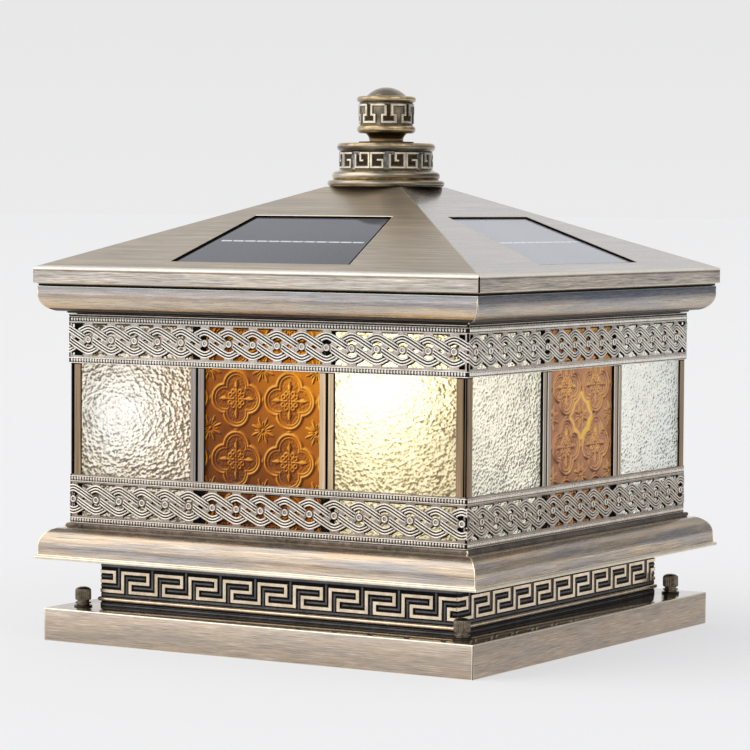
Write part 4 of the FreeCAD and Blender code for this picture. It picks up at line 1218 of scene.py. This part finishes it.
def pressed(X, Z):
    """Relief of the amber panes: quatrefoils of four round lobes with a double rim, linked at their tips; in each one a
    cross flower on a stippled ground, and an eight-petalled daisy between four of them."""
    qx = (X / PX + 0.5) % 1.0 * PX - PX / 2
    qz = ((Z / PZ + 0.5) % 1.0 * PZ - PZ / 2) * (PX / PZ)
    ax, az = np.abs(qx), np.abs(qz)
    d = np.minimum(np.hypot(ax - LOBE_C, az), np.hypot(ax, az - LOBE_C)) - LOBE_R
    rim = np.exp(-((d + 0.4) / 0.85) ** 2)
    rim2 = np.exp(-((d + 2.3) / 0.42) ** 2)
    inside = np.clip((-d - 2.6) / 0.5, 0, 1)
    # cross flower: button, four stems with curled leaves, four drops
    r = np.hypot(qx, qz)
    big, small = np.maximum(ax, az), np.minimum(ax, az)
    stem = np.exp(-(small / 0.6) ** 2) * np.clip((6.8 - big) / 0.6, 0, 1)
    drop_w = 1.55 * np.sqrt(np.clip((big - 6.6) / 1.6, 0, 1)) * np.clip((12.2 - big) / 3.0, 0, 1) + 0.05
    drop = np.clip(1 - (small / drop_w) ** 2, 0, 1) * (big > 6.6) * (big < 12.2)
    curl = np.exp(-((np.hypot(big - 4.3, small - 2.3) - 1.15) / 0.5) ** 2) * (small > 0.5)
    leaf = np.exp(-((np.abs(ax - az)) / 0.8) ** 2) * np.clip((r - 1.6) / 0.6, 0, 1) * np.clip((4.6 - r) / 0.6, 0, 1)
    button = np.clip(1 - (r / 1.5) ** 2, 0, 1)
    flower = np.maximum.reduce([0.8 * stem, 1.05 * drop, 0.8 * curl, 0.75 * leaf, 1.2 * button])
    # daisy
    bx = (X / PX) % 1.0 * PX - PX / 2
    bz = ((Z / PZ) % 1.0 * PZ - PZ / 2) * (PX / PZ)
    rb, tb = np.hypot(bx, bz), np.arctan2(bz, bx)
    daisy = np.zeros_like(X)
    for n_, r0, r1, wd, off in ((8, 2.0, 8.4, 0.85, 0.0), (8, 1.6, 5.6, 0.5, 0.5)):
        step = 2 * math.pi / n_
        t = (tb / step + off) % 1.0 * step - step / 2
        pb, lb = rb * np.abs(np.sin(t)), rb * np.cos(t)
        width = wd * np.sin(np.pi * np.clip((lb - r0) / (r1 - r0), 0, 1)) ** 0.6 + 0.05
        daisy = np.maximum(daisy, np.clip(1 - (pb / width) ** 2, 0, 1) * (lb > r0) * (lb < r1))
    daisy = np.maximum(daisy, np.clip(1 - (rb / 1.1) ** 2, 0, 1))
    daisy *= d > 1.4
    link = np.exp(-((qx - np.sign(qx) * PX / 2) / 0.8) ** 2 - (qz / 1.5) ** 2) + np.exp(-((qz - np.sign(qz) * PX / 2) / 0.8) ** 2 - (qx / 1.5) ** 2)
    stip = cells(X, Z, 1.5, 1.5, 77)
    ground = inside * (1 - np.clip(1.6 * flower, 0, 1)) * (0.22 * (1 - np.clip(stip / 0.6, 0, 1)) - 0.16)
    h = np.maximum.reduce([rim, 0.5 * rim2, flower * (d < -2.4), 0.85 * daisy, 0.7 * link])
    return h + ground + smooth_noise(X.shape, 16, 5) * 0.035, d


def pane(name, x0, x1, kind, deg, seed, node, look):
    step = 0.40 if kind == "clear" else 0.40
    z0, z1 = 71.9, 198.1
    yb, yf = 134.2, 136.65
    xs = np.linspace(x0, x1, int((x1 - x0) / step) + 1)
    zs = np.linspace(z0, z1, int((z1 - z0) / step) + 1)
    X, Z = np.meshgrid(xs, zs)
    dx, dz = xs[1] - xs[0], zs[1] - zs[0]
    if kind == "clear":
        fine = 1.0 if deg in (0, 180) else 1.3
        h, pit = hammered(X * fine, Z * fine, seed)
        gz, gx = np.gradient(h, dz, dx)
        # painted light and shade: the pane is painted paler near the lamp's glow, its flanks that face away from the
        # glow darker, more so the farther they are from it, and the dimples' centres darker
        cx, cz, near, reach, amp, level = look
        rx, rz = X - cx, (Z - cz) * 1.1
        r = np.hypot(rx, rz) + 1e-6
        flank = 2.0 * (gx * rx + gz * rz) / r
        away = np.clip((r - near) / reach, 0, 1.15)
        grain = 0.10 * smooth_noise(X.shape, 2.2, seed + 21) + 0.05 * smooth_noise(X.shape, 14, seed + 31)
        rel = level - 0.17 * away ** 1.3 - amp * (0.22 + away) * (flank + 0.05) + grain * (0.5 + away)
        rel = np.clip(rel - 0.30 * np.clip(1 - pit / 0.22, 0, 1) * (0.5 + away), 0, 1)
        h = 0.8 * h
    else:
        h, d = pressed(X - look[0] - PX / 2, Z - look[1] - PZ / 2)
        gz, gx = np.gradient(h, dz, dx)
        # painted light and shade: the tone rises across and up the pane towards the glow, raised parts are lighter, and
        # flanks facing up and left are lighter, those facing down and right darker
        tone = look[2] + look[3] * X / 40.0 + look[4] * (Z - 135.0) / 33.0
        body = smooth_noise(X.shape, 22, seed + 41)
        rel = tone + (0.04 if look[5] else 0.24) * np.clip(h, -0.3, 1) + (0.85 if look[5] else 0.78) * np.clip(0.8 * gx - 0.7 * gz, -0.8, 0.40 if look[5] else 0.8) - 0.05 + 0.03 * body
        if look[5]:
            # side panes: the rims round the central daisy get a painted highlight
            bx, bz = X - look[0], Z - look[1]
            near = np.hypot(bx, bz) < 14.6
            rel = rel + look[5] * near * np.exp(-((d - 1.7) / 1.3) ** 2)
            # painted shade gives the other rims a dark outline, and a painted highlight picks out a few flower tips
            rel = rel - 0.24 * ~near * np.exp(-((d - 0.5) / 0.6) ** 2) - 0.16 * np.exp(-((d + 1.5) / 0.45) ** 2)
            rel = rel + 0.30 * np.clip(smooth_noise(X.shape, 7, seed + 61) - 0.35, 0, 1.2) * (h > 0.35)
        rel = np.clip(rel, 0, 1)
        h = 0.85 * h
    jj, ii = np.arange(len(zs)), np.arange(len(xs))
    edge = np.minimum(np.minimum.outer(jj, ii), np.minimum.outer(jj[::-1], ii[::-1]))
    h = h * np.clip(edge / 4.0, 0, 1)
    Y = -(yf + np.clip(h, -0.4, 0.98))
    nz, nx = X.shape
    front = np.stack([X, Y, Z], -1)
    b = Build()
    b.grid(front, 0)
    rim = [(i, 0) for i in range(nx)] + [(nx - 1, j) for j in range(1, nz)] + [(i, nz - 1) for i in range(nx - 2, -1, -1)] + [(0, j) for j in range(nz - 2, 0, -1)]
    rf = np.array([front[j, i] for i, j in rim])
    rb = rf.copy()
    rb[:, 1] = -yb
    m = len(rim)
    b.add(np.concatenate([rf, rb]), [(i, (i + 1) % m, m + (i + 1) % m, m + i) for i in range(m)], 0)
    b.add(rb, [tuple(range(m))], 0)
    full = Build()
    full.merge(b, deg)
    me = bpy.data.meshes.new(name)
    v = np.concatenate(full.v) * MM
    me.from_pydata(v.tolist(), [], full.f)
    me.materials.append(M[{"front_left": "clear", "front_right": "clear_warm"}.get(name[6:], "clear_cool") if kind == "clear" else ("amber" if deg in (0, 180) else "amber_side")])
    att = me.attributes.new("painted_light_tone", "FLOAT", "POINT")
    vals = np.full(len(v), 0.5, np.float32)
    vals[: nx * nz] = rel.reshape(-1)
    att.data.foreach_set("value", vals)
    if kind == "clear":
        att = me.attributes.new("away", "FLOAT", "POINT")
        vals = np.full(len(v), 0.4, np.float32)
        vals[: nx * nz] = away.reshape(-1)
        att.data.foreach_set("value", vals)
    bm = bmesh.new()
    bm.from_mesh(me)
    bmesh.ops.remove_doubles(bm, verts=bm.verts, dist=1e-6)
    bmesh.ops.recalc_face_normals(bm, faces=bm.faces)
    bm.to_mesh(me)
    bm.free()
    me.shade_smooth()
    me.set_sharp_from_angle(angle=math.radians(60))
    ob = bpy.data.objects.new(name, me)
    SCENE.collection.objects.link(ob)
    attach(ob, "lantern")
    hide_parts(node)
    return ob


seed = 11
# where each clear pane's painted glow sits: centre x and z, radius of the even bright patch, reach of the fall-off,
# strength of the painted flank shade, base level
CLEAR_LOOK = {
    "front_left": (-104, 139, -2, 50, 0.98, 0.62), "front_right": (78, 150, 2, 52, 0.66, 0.655),
    "right_left": (-172, 196, 10, 140, 0.76, 0.64), "right_right": (12, 204, -10, 150, 0.54, 0.79),
    "back_left": (-100, 142, -6, 56, 0.60, 0.63), "back_right": (88, 148, -4, 56, 0.60, 0.63),
    "left_left": (-84, 148, -4, 56, 0.60, 0.63), "left_right": (172, 196, 10, 140, 0.70, 0.66),
}
# amber panes: pattern offset x and z, base tone, painted tone slopes across and up, and on the side panes the painted
# highlight round the central daisy
AMBER_LOOK = {
    "front": (0.0, 133.1, 0.35, 0.15, 0.11, 0.0), "right": (1.7, 140.2, 0.44, 0.05, 0.05, 0.62),
    "back": (1.0, 131.0, 0.38, 0.05, 0.05, 0.0), "left": (-1.2, 136.4, 0.40, 0.05, 0.05, 0.0),
}
for label, deg in SIDES:
    for part, x0, x1 in (("left", -133.6, -46.8), ("amber", -44.2, 44.2), ("right", 46.8, 133.6)):
        kind = "amber" if part == "amber" else "clear"
        look = AMBER_LOOK[label] if kind == "amber" else CLEAR_LOOK[label + "_" + part]
        pane("glass_%s_%s" % (label, part), x0, x1, kind, deg, seed, "pane_%s_%s" % (label, part), look)
        seed += 3

# ============================================================ roof
TAN = 0.389
TH = math.atan(TAN)
TOP_H, EAVE, RH = 27.0, 226.6, 155.0
TOP_Z = EAVE + (RH - TOP_H) * TAN


def slope_place(uvw):
    uvw = np.asarray(uvw, float).reshape(-1, 3)
    u, v, w = uvw.T
    return np.stack([u, -RH + v * math.cos(TH) - w * math.sin(TH), EAVE + v * math.sin(TH) + w * math.cos(TH)], 1)


V_TOP = (RH - TOP_H) / math.cos(TH)
rb = Build()
slope_b = Build()
WV0, WV1, WU0, WU1 = 13.5, 88.5, 62.5, 48.5


def half_at(v, w=0.0):
    """Half width of the slope at distance v up it."""
    return RH - v * math.cos(TH) + w * math.sin(TH)


e0 = 0.6      # eave line, painted highlight strip
hip = 0.3     # strip beside each hip: pale on one side, a painted highlight, dark on the other, painted shade
lip = 0.5     # pale strip round the window, a painted highlight
# outer face: rows of trapezoids round the window
def quad(bld, pts, mat):
    bld.add(slope_place(pts), [(0, 1, 2, 3)], mat)


e1, e2 = 1.5, 3.4      # painted highlight on the eave bend and its soft upper edge


def hx(v):
    return half_at(v)


# eave rows in painted highlight; beside each hip a pale strip on one side, painted highlight, and a dark one on the
# other, painted shade
for (va, vb, m) in ((0.0, e1, 6), (e1, e2, 7), (e2, WV0 - lip, 0), (WV1 + lip, V_TOP, 0)):
    ia, ib = hx(va) - hip, hx(vb) - hip
    quad(slope_b, [(-ia, va, 0), (ia, va, 0), (ib, vb, 0), (-ib, vb, 0)], m)
    for s in (-1, 1):
        quad(slope_b, [(s * ia, va, 0), (s * hx(va), va, 0), (s * hx(vb), vb, 0), (s * ib, vb, 0)], 4 if s > 0 else 5)


def wu(v):
    return WU0 - (v - WV0) * (WU0 - WU1) / (WV1 - WV0)


va, vb = WV0 - lip, WV1 + lip
for s in (-1, 1):
    quad(slope_b, [(s * (wu(va) + lip), va, 0), (s * (hx(va) - hip), va, 0), (s * (hx(vb) - hip), vb, 0), (s * (wu(vb) + lip), vb, 0)], 0)
    quad(slope_b, [(s * (hx(va) - hip), va, 0), (s * hx(va), va, 0), (s * hx(vb), vb, 0), (s * (hx(vb) - hip), vb, 0)], 4 if s > 0 else 5)
o = [(-(wu(va) + lip), va, 0), (wu(va) + lip, va, 0), (wu(vb) + lip, vb, 0), (-(wu(vb) + lip), vb, 0)]
i0 = [(-WU0, WV0, -0.22), (WU0, WV0, -0.22), (WU1, WV1, -0.22), (-WU1, WV1, -0.22)]
i1 = [(p[0], p[1], -1.2) for p in i0]
# round the window a pale lip, painted highlight, and black walls down to the panel, painted shadow
for k in range(4):
    j = (k + 1) % 4
    quad(slope_b, [o[k], o[j], i0[j], i0[k]], 1)
    quad(slope_b, [i0[k], i0[j], i1[j], i1[k]], 2)
# inner face with the same opening
T = 1.2
iv = [3.0, WV0, WV1, V_TOP - 3.0]


def hin(v):
    return half_at(v) - 1.4


for va, vb in ((iv[0], iv[1]), (iv[2], iv[3])):
    quad(slope_b, [(-hin(va), va, -T), (hin(va), va, -T), (hin(vb), vb, -T), (-hin(vb), vb, -T)], 0)
for s in (-1, 1):
    quad(slope_b, [(s * WU0, WV0, -T), (s * hin(WV0), WV0, -T), (s * hin(WV1), WV1, -T), (s * WU1, WV1, -T)], 0)
for k in range(4):
    turned = Build()
    turned.merge(slope_b)
    # slopes that look along x: the roof_side copy, painted light that differs between sides, and the dimmer edge strip
    # for the eave's painted highlight
    if k % 2:
        turned.m = [{0: 9, 6: 1, 7: 9}.get(m, m) for m in turned.m]
    rb.merge(turned, 90 * k)
# plateau under the finial: a ring of sheet with a round hole
sq = [(-TOP_H, -TOP_H), (TOP_H, -TOP_H), (TOP_H, TOP_H), (-TOP_H, TOP_H)]
ang = np.linspace(0, 2 * math.pi, 48, endpoint=False)
loops = [[Vector((x, y, 0)) for x, y in sq], [Vector((4.6 * math.cos(t), 4.6 * math.sin(t), 0)) for t in ang]]
tr = tessellate_polygon(loops)
fl = np.array([(v.x, v.y) for lp in loops for v in lp])
nf = len(fl)
rb.add(np.concatenate([np.column_stack([fl, np.full(nf, TOP_Z)]), np.column_stack([fl, np.full(nf, TOP_Z - T)])]),
       [tuple(t) for t in tr] + [tuple(nf + i for i in t[::-1]) for t in tr] + [(4 + i, 4 + (i + 1) % 48, nf + 4 + (i + 1) % 48, nf + 4 + i) for i in range(48)], 0)
# fascia: painted highlight lines along the eave and along the foot, a band of painted shade just under the eave line, a
# shadow gap under it in black, and an open seam at each corner
fascia = ring(
    [
        (154.2, EAVE + 0.31, 1), (155.0, EAVE, 6), (155.0, EAVE - 0.9, 7), (155.0, EAVE - 1.3, 8), (155.0, EAVE - 2.3, 3), (155.0, 217.7, 1), (154.75, 217.25, 2), (152.6, 217.05, 2),
        (152.4, 215.5, 2), (151.6, 215.5, 0), (153.6, 217.8, 0), (153.8, EAVE - 1.2, 0),
    ],
    seam=(0.75, 1.6, 0.5), seam_mats=(0, 2), only=lambda h, z: z < 226.2 and h > 154.5,
)
rb.merge(fascia)
to_object("roof_sheet", rb, ["roof", "roof_edge", "seam", "fascia", "edge", "under", "eave", "eave_soft", "fascia_low", "roof_side"], "roof", ["roof_shell"], angle=20)

# ============================================================ solar panels
pv0, pv1 = WV0 - 4.0, WV1 + 4.0


def ph(v):
    return wu(v) + 4.0


for label, deg in (("front", 0), ("right", 90), ("back", 180), ("left", 270)):
    b = Build()
    w1, w0 = -1.24, -4.15
    bev = 0.4
    lo_ring = [(-ph(pv0), pv0), (ph(pv0), pv0), (ph(pv1), pv1), (-ph(pv1), pv1)]
    hi_ring = [(-ph(pv0) + bev, pv0 + bev), (ph(pv0) - bev, pv0 + bev), (ph(pv1) - bev, pv1 - bev), (-ph(pv1) + bev, pv1 - bev)]
    levels = [(lo_ring, w0), (lo_ring, w1 - bev), (hi_ring, w1)]
    pts = np.array([slope_place([(u, v, w) for u, v in rg]) for rg, w in levels])
    b.grid(pts, 0, close_v=True)
    b.add(pts[0], [(3, 2, 1, 0)], 2)
    b.add(pts[2], [(0, 1, 2, 3)], 0)
    # busbar in the middle of the cell: short tinned strips
    for k in range(12):
        u0 = -49.0 + k * 8.4
        u1 = u0 + 7.5
        q = [(u0, 48.8, w1 + 0.05), (u1, 48.8, w1 + 0.05), (u1, 50.5, w1 + 0.05), (u0, 50.5, w1 + 0.05)]
        q0 = [(p[0], p[1], w1 - 0.02) for p in q]
        v = np.concatenate([slope_place(q), slope_place(q0)])
        b.add(v, [(0, 1, 2, 3), (7, 6, 5, 4), (0, 4, 5, 1), (1, 5, 6, 2), (2, 6, 7, 3), (3, 7, 4, 0)], 1)
    # black sealing bead on the panel all round the opening
    gi = [(wu(WV0 + 2.5) - 2.3, WV0 + 2.5), (wu(WV1 - 1.0) - 2.3, WV1 - 1.0)]
    inner = [(-gi[0][0], gi[0][1]), gi[0], gi[1], (-gi[1][0], gi[1][1])]
    outer_ = [(-(wu(WV0) + 1.5), WV0 - 1.5), (wu(WV0) + 1.5, WV0 - 1.5), (wu(WV1) + 1.5, WV1 + 1.5), (-(wu(WV1) + 1.5), WV1 + 1.5)]
    lay = [(outer_, w1 - 0.03), (outer_, w1 + 0.03), (inner, w1 + 0.03), (inner, w1 - 0.03)]
    b.grid(np.array([slope_place([(u, v, w) for u, v in rg]) for rg, w in lay]), 3, close_u=True, close_v=True)
    full = Build()
    full.merge(b, deg)
    to_object("solar_panel_glazed_" + label, full, ["solar", "silver", "black_plastic", "seam"], "roof", ["solar_panel_" + label], angle=25)


# ============================================================ finial
def on_drum(radius, z_mid_shift=0.0, turn_deg=0.0):
    """Maps (arc length, z) and a height to the drum's surface."""
    def place(c, h):
        a = c[:, 0] / radius + math.radians(turn_deg)
        r = radius + h
        return np.stack([r * np.cos(a), r * np.sin(a), c[:, 1]], 1)
    return place


def refined(path, step=1.2):
    out = [path[0]]
    for a, b in zip(path[:-1], path[1:]):
        n = max(1, int(math.hypot(b[0] - a[0], b[1] - a[1]) / step))
        for k in range(1, n + 1):
            out.append((a[0] + (b[0] - a[0]) * k / n, a[1] + (b[1] - a[1]) * k / n))
    return out


def patch(b, s0, s1, za_, zb_, radius, mat):
    """Thin dark field on a drum between two arc lengths and two heights, closed all round."""
    n_ = max(2, int(abs(s1 - s0) / 1.0) + 1)
    t = np.linspace(s0, s1, n_) / radius
    rows = []
    for r_, z_ in ((radius - 0.3, za_), (radius, za_), (radius, zb_), (radius - 0.3, zb_)):
        rows.append(np.stack([r_ * np.cos(t), r_ * np.sin(t), np.full(n_, z_)], 1))
    pts = np.array(rows)
    b.grid(pts, mat, close_u=True)
    b.add(pts[:, 0], [(0, 1, 2, 3)], mat)
    b.add(pts[:, -1], [(3, 2, 1, 0)], mat)


VIEW = -90 + 31.4
drum = Build()
R1 = 28.2
prof = [(4.6, TOP_Z + 0.05), (34.6, TOP_Z + 0.05)]
prof += arc3((34.6, TOP_Z + 0.05), (36.3, 278.4), (34.2, 280.6), 10)[1:]
prof += [(32.4, 281.0)] + arc3((32.4, 281.0), (33.4, 283.4), (31.6, 285.8), 10)[1:]
n_foot = len(prof)
prof += [(30.4, 286.15), (29.3, 286.7), (28.6, 287.4), (R1, 288.1), (R1, 298.0), (29.2, 298.6)]
prof += arc3((29.2, 298.6), (30.4, 301.0), (29.2, 303.25), 10)[1:]
prof += [(27.6, 303.3), (26.8, 303.0), (18.0, 303.0), (17.2, 303.28), (4.6, 303.28), (4.6, TOP_Z + 0.05)]
mats = [0] * (len(prof) - 1)
for k in range(len(prof) - 1):
    (ra, za), (rb_, zb) = prof[k], prof[k + 1]
    if abs(ra - R1) < 1e-6 and abs(rb_ - R1) < 1e-6:
        mats[k] = 1
    # upper faces of the rims: painted highlight
    elif za > 301.2 and ra > 26.0 or 279.6 < za < 281.2 and ra > 32.0 or 284.8 < za < 285.9 and ra > 31.0:
        mats[k] = 3
lathe(drum, prof, mats, 160)
place = on_drum(R1)
P8 = 2 * math.pi * R1 / 8
za, zb = 288.3, 297.0
zm = (za + zb) / 2
base_ang = math.radians(VIEW - 9.5)
for k in range(8):
    s = base_ang * R1 + k * P8
    g = [(s + 4.2, zb), (s - 4.6, zb), (s - 4.6, za), (s + 2.4, za), (s + 2.4, zm + 0.2), (s - 1.4, zm + 0.2)]
    raised_line(drum, refined(g), 1.95, -0.15, 0.85, 0.5, mat=2, side=1, place=place)
    patch(drum, s - 3.6, s + 3.0, za + 1.1, zb - 1.1, R1 + 0.03, 4)
    q = s + P8 / 2
    patch(drum, q - 3.2, q + 4.0, za + 1.1, zb - 1.1, R1 + 0.03, 4)
    g = [(q - 4.2, zb), (q - 4.2, za), (q + 5.0, za), (q + 5.0, zb), (q - 0.6, zb), (q - 0.6, zm - 0.2), (q + 1.8, zm - 0.2)]
    raised_line(drum, refined(g), 1.95, -0.15, 0.85, 0.5, mat=2, side=1, place=place)
to_object("finial_drum_cast", drum, ["bronze", "drum_ground", "gold", "rim", "drum_dark"], "roof", ["finial_drum"], angle=30, merge=False)

knob = Build()
R2 = 16.4
prof = [(4.05, 304.3), (10.4, 304.3), (10.6, 304.5), (10.6, 305.5)]
prof += arc3((10.6, 305.6), (11.4, 307.9), (13.2, 309.4), 8)
prof += [(16.4, 309.5)] + arc3((16.4, 309.5), (18.1, 311.8), (16.9, 314.2), 10)[1:] + [(R2, 314.6), (R2, 328.2), (16.9, 328.5)]
prof += arc3((16.9, 328.5), (18.3, 330.2), (17.0, 332.2), 10)[1:] + [(13.0, 332.45), (12.2, 332.6)]
top_r, top_z, apex = 12.2, 332.6, 337.9
big = (top_r**2 + (apex - top_z) ** 2) / (2 * (apex - top_z))
for k in range(1, 13):
    a = math.asin(top_r / big) * (1 - k / 12)
    prof.append((big * math.sin(a), apex - big + big * math.cos(a)))
n_out = len(prof)
prof += [(0.0, 324.0), (4.05, 324.0), (4.05, 304.3)]
mats = [0] * (len(prof) - 1)
for k in range(len(prof) - 1):
    if abs(prof[k][0] - R2) < 1e-6 and abs(prof[k + 1][0] - R2) < 1e-6:
        mats[k] = 1
    # upper faces of the rims: painted highlight
    elif prof[k][0] > 15.5 and (311.0 < prof[k][1] < 314.4 or 329.4 < prof[k][1] < 332.5):
        mats[k] = 3
    elif 304.2 < prof[k][1] < 310.0 and prof[k][0] < 17.0:
        mats[k] = 5
mats[n_out - 1] = 0
lathe(knob, prof, mats, 128)
place = on_drum(R2)
P8 = 2 * math.pi * R2 / 8
zb, zt, z1_, z2_ = 316.2, 326.8, 320.0, 323.4
base_ang = math.radians(VIEW + 5.0)
loop = []
for k in range(9):
    s = base_ang * R2 + k * P8
    # line that goes round the foot of one inverted T and over to the next
    loop += [(s - 2.0, zt), (s - 2.0, z1_ + 0.6), (s - 4.1, z1_ + 0.6), (s - 4.1, zb), (s + 4.1, zb), (s + 4.1, z1_ + 0.6), (s + 2.0, z1_ + 0.6), (s + 2.0, zt)]
    if k < 8:
        nxt = s + P8
        loop += []
line = [loop[0]]
for p in loop[1:]:
    if math.hypot(p[0] - line[-1][0], p[1] - line[-1][1]) > 1e-6:
        line.append(p)
line = line[: 8 * 8 + 1]
for k in range(8):
    s = base_ang * R2 + k * P8
    patch(knob, s - 1.5, s + 1.5, z1_ + 0.2, zt + 0.2, R2 + 0.03, 4)
    patch(knob, s - 3.6, s + 3.6, zb + 0.5, z1_ + 0.3, R2 + 0.03, 4)
raised_line(knob, refined(line, 0.9), 2.15, -0.15, 0.8, 0.5, mat=2, side=1, place=place)
to_object("finial_knob_cast", knob, ["bronze", "knob_ground", "knob_line", "rim", "drum_dark", "neck"], "finial_knob", ["finial_knob"], angle=30, merge=False)

# ============================================================ carried-over CAD nodes
KEPT = {
    "plinth_box": "black_sheet", "floor_pan": "aluminium", "ceiling_plate": "aluminium", "glass_clips": "clip_clear",
    "mounting_bracket": "steel", "led_heat_sink": "aluminium", "led_board": "board_white", "led_chips": "chip",
    "led_diffuser": "diffuser", "battery_holder": "black_plastic", "battery_cells": "wrap", "battery_lid": "black_plastic",
    "controller_board": "board", "switch_housing": "black_plastic", "power_button": "red_plastic", "tie_rod": "steel",
    "rod_nuts": "steel", "connector_socket": "black_plastic", "connector_plug": "black_plastic", "panel_clips": "spring",
    "panel_leads": "lead", "internal_leads": "lead", "finial_washer": "black_rubber",
}
for node, mat in KEPT.items():
    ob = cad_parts[node]
    if not ob.data.materials:
        ob.data.materials.append(M[mat])
    for i in range(len(ob.data.materials)):
        ob.data.materials[i] = M[mat]

# ============================================================ floor, light and surroundings
FLOOR_E = 0.54
fl = Build()
n = 64
rr = [0.0, 300.0, 900.0, 3000.0, 12000.0, 60000.0]
pts = np.array([[(r * math.cos(2 * math.pi * k / n), r * math.sin(2 * math.pi * k / n), -0.05) for k in range(n)] for r in rr])
fl.grid(pts, 0, close_v=True)
nf_ = Nodes("floor_pale")
a = nf_.noise(nf_.position(), 3.0, 2.0, 0.5)
nf_.colour(nf_.ramp(a, [(0.3, (0.335, 0.335, 0.340, 1)), (0.7, (0.340, 0.340, 0.342, 1))]))
# paper sweep: very slightly darker with distance, so that it runs into the backdrop
fs = nf_.node("ShaderNodeSeparateXYZ")
nf_.link(nf_.position(), fs.inputs[0])
fx, fy = fs.outputs[0], fs.outputs[1]
fr = nf_.math("SQRT", nf_.math("ADD", nf_.math("MULTIPLY", fx, fx), nf_.math("MULTIPLY", fy, fy)))
far = nf_.math("DIVIDE", fr, nf_.math("ADD", fr, 5.0))
nf_.link(nf_.ramp(far, [(0.0, (FLOOR_E, FLOOR_E, FLOOR_E * 1.012, 1)), (0.32, (FLOOR_E - 0.004,) * 3 + (1,)), (0.6, (FLOOR_E - 0.02,) * 3 + (1,)), (1.0, (FLOOR_E - 0.04,) * 3 + (1,))]), nf_.bsdf.inputs["Emission Color"])
nf_.set(Roughness=0.6, Specular_IOR_Level=0.0, Emission_Strength=1.0)
M["floor"] = nf_.mat
me = bpy.data.meshes.new("floor")
me.from_pydata((np.concatenate(fl.v) * MM).tolist(), [], fl.f)
me.materials.append(M["floor"])
bm = bmesh.new()
bm.from_mesh(me)
bmesh.ops.remove_doubles(bm, verts=bm.verts, dist=1e-6)
bmesh.ops.recalc_face_normals(bm, faces=bm.faces)
for f in bm.faces:
    if f.normal.z < 0:
        f.normal_flip()
bm.to_mesh(me)
bm.free()
floor = bpy.data.objects.new("floor", me)
SCENE.collection.objects.link(floor)

# lamp light that reaches the panes from inside
for k, (x, y) in enumerate(((86, -86), (-86, -86), (-86, 86), (86, 86))):
    li = bpy.data.lights.new("lamp_fill_%d" % k, "POINT")
    li.energy = (0.42, 0.40, 0.36, 0.38)[k]
    li.color = ((1.0, 0.94, 0.76), (0.97, 0.99, 1.03), (0.97, 0.99, 1.03), (0.98, 0.99, 1.0))[k]
    li.shadow_soft_size = 0.03
    ob = bpy.data.objects.new("lamp_fill_%d" % k, li)
    ob.location = (x * MM, y * MM, 0.135)
    ob.visible_glossy = False
    ob.visible_transmission = False
    SCENE.collection.objects.link(ob)

world = bpy.data.worlds.new("studio")
SCENE.world = world
world.use_nodes = True
W_ = Nodes.__new__(Nodes)
W_.nt = world.node_tree
W_.nt.nodes.clear()
wout = W_.node("ShaderNodeOutputWorld")
tc = W_.node("ShaderNodeTexCoord").outputs["Generated"]
sp = W_.node("ShaderNodeSeparateXYZ")
W_.link(tc, sp.inputs[0])
dx_, dy_, dz_ = sp.outputs


def toward(x, y, z, lo, hi):
    """0 to 1 ramp on the cosine to a direction."""
    ln = math.sqrt(x * x + y * y + z * z)
    dot = W_.math("ADD", W_.math("ADD", W_.math("MULTIPLY", dx_, x / ln), W_.math("MULTIPLY", dy_, y / ln)), W_.math("MULTIPLY", dz_, z / ln))
    m = W_.node("ShaderNodeMapRange", interpolation_type="SMOOTHSTEP")
    m.inputs["From Min"].default_value = lo
    m.inputs["From Max"].default_value = hi
    W_.link(dot, m.inputs["Value"])
    return m.outputs["Result"]


# white paper behind, cooler room in front, darker ceiling, one broad soft box up on the left
back = toward(-0.5, 0.86, -0.1, -0.25, 0.45)
up = toward(0, 0, 1, 0.68, 0.90)
room = W_.mix(back, (0.60, 0.61, 0.63, 1), (0.89, 0.90, 0.93, 1))
room = W_.mix(toward(0.55, 0.83, -0.1, 0.55, 0.95), room, (0.32, 0.335, 0.37, 1))
room = W_.mix(toward(-0.55, -0.83, 0.12, 0.45, 0.85), room, (1.70, 1.74, 1.84, 1))
room = W_.mix(up, room, (0.50, 0.50, 0.51, 1))
box = toward(-0.55, -0.35, 0.75, 0.86, 0.97)
box2 = toward(0.75, -0.25, 0.62, 0.90, 0.985)
room = W_.mix(box, room, (2.5, 2.46, 2.38, 1))
room = W_.mix(box2, room, (1.5, 1.5, 1.55, 1))
low = toward(0, 0, -1, 0.0, 0.12)
room = W_.mix(low, room, (0.84, 0.84, 0.85, 1))
bg_env = W_.node("ShaderNodeBackground")
W_.link(room, bg_env.inputs["Color"])
bg_env.inputs["Strength"].default_value = 1.0
bg_cam = W_.node("ShaderNodeBackground")
sky = W_.node("ShaderNodeValToRGB")
W_.link(dz_, sky.inputs["Fac"])
el = sky.color_ramp.elements
el[0].position, el[0].color = 0.0, (0.832, 0.832, 0.834, 1)
el[1].position, el[1].color = 0.10, (0.780, 0.780, 0.782, 1)
e = el.new(0.06)
e.color = (0.806, 0.806, 0.808, 1)
W_.link(sky.outputs["Color"], bg_cam.inputs["Color"])
mixs = W_.node("ShaderNodeMixShader")
lp = W_.node("ShaderNodeLightPath")
W_.link(lp.outputs["Is Camera Ray"], mixs.inputs[0])
W_.link(bg_env.outputs[0], mixs.inputs[1])
W_.link(bg_cam.outputs[0], mixs.inputs[2])
W_.link(mixs.outputs[0], wout.inputs["Surface"])

SCENE.view_settings.view_transform = "Standard"
SCENE.view_settings.look = "None"
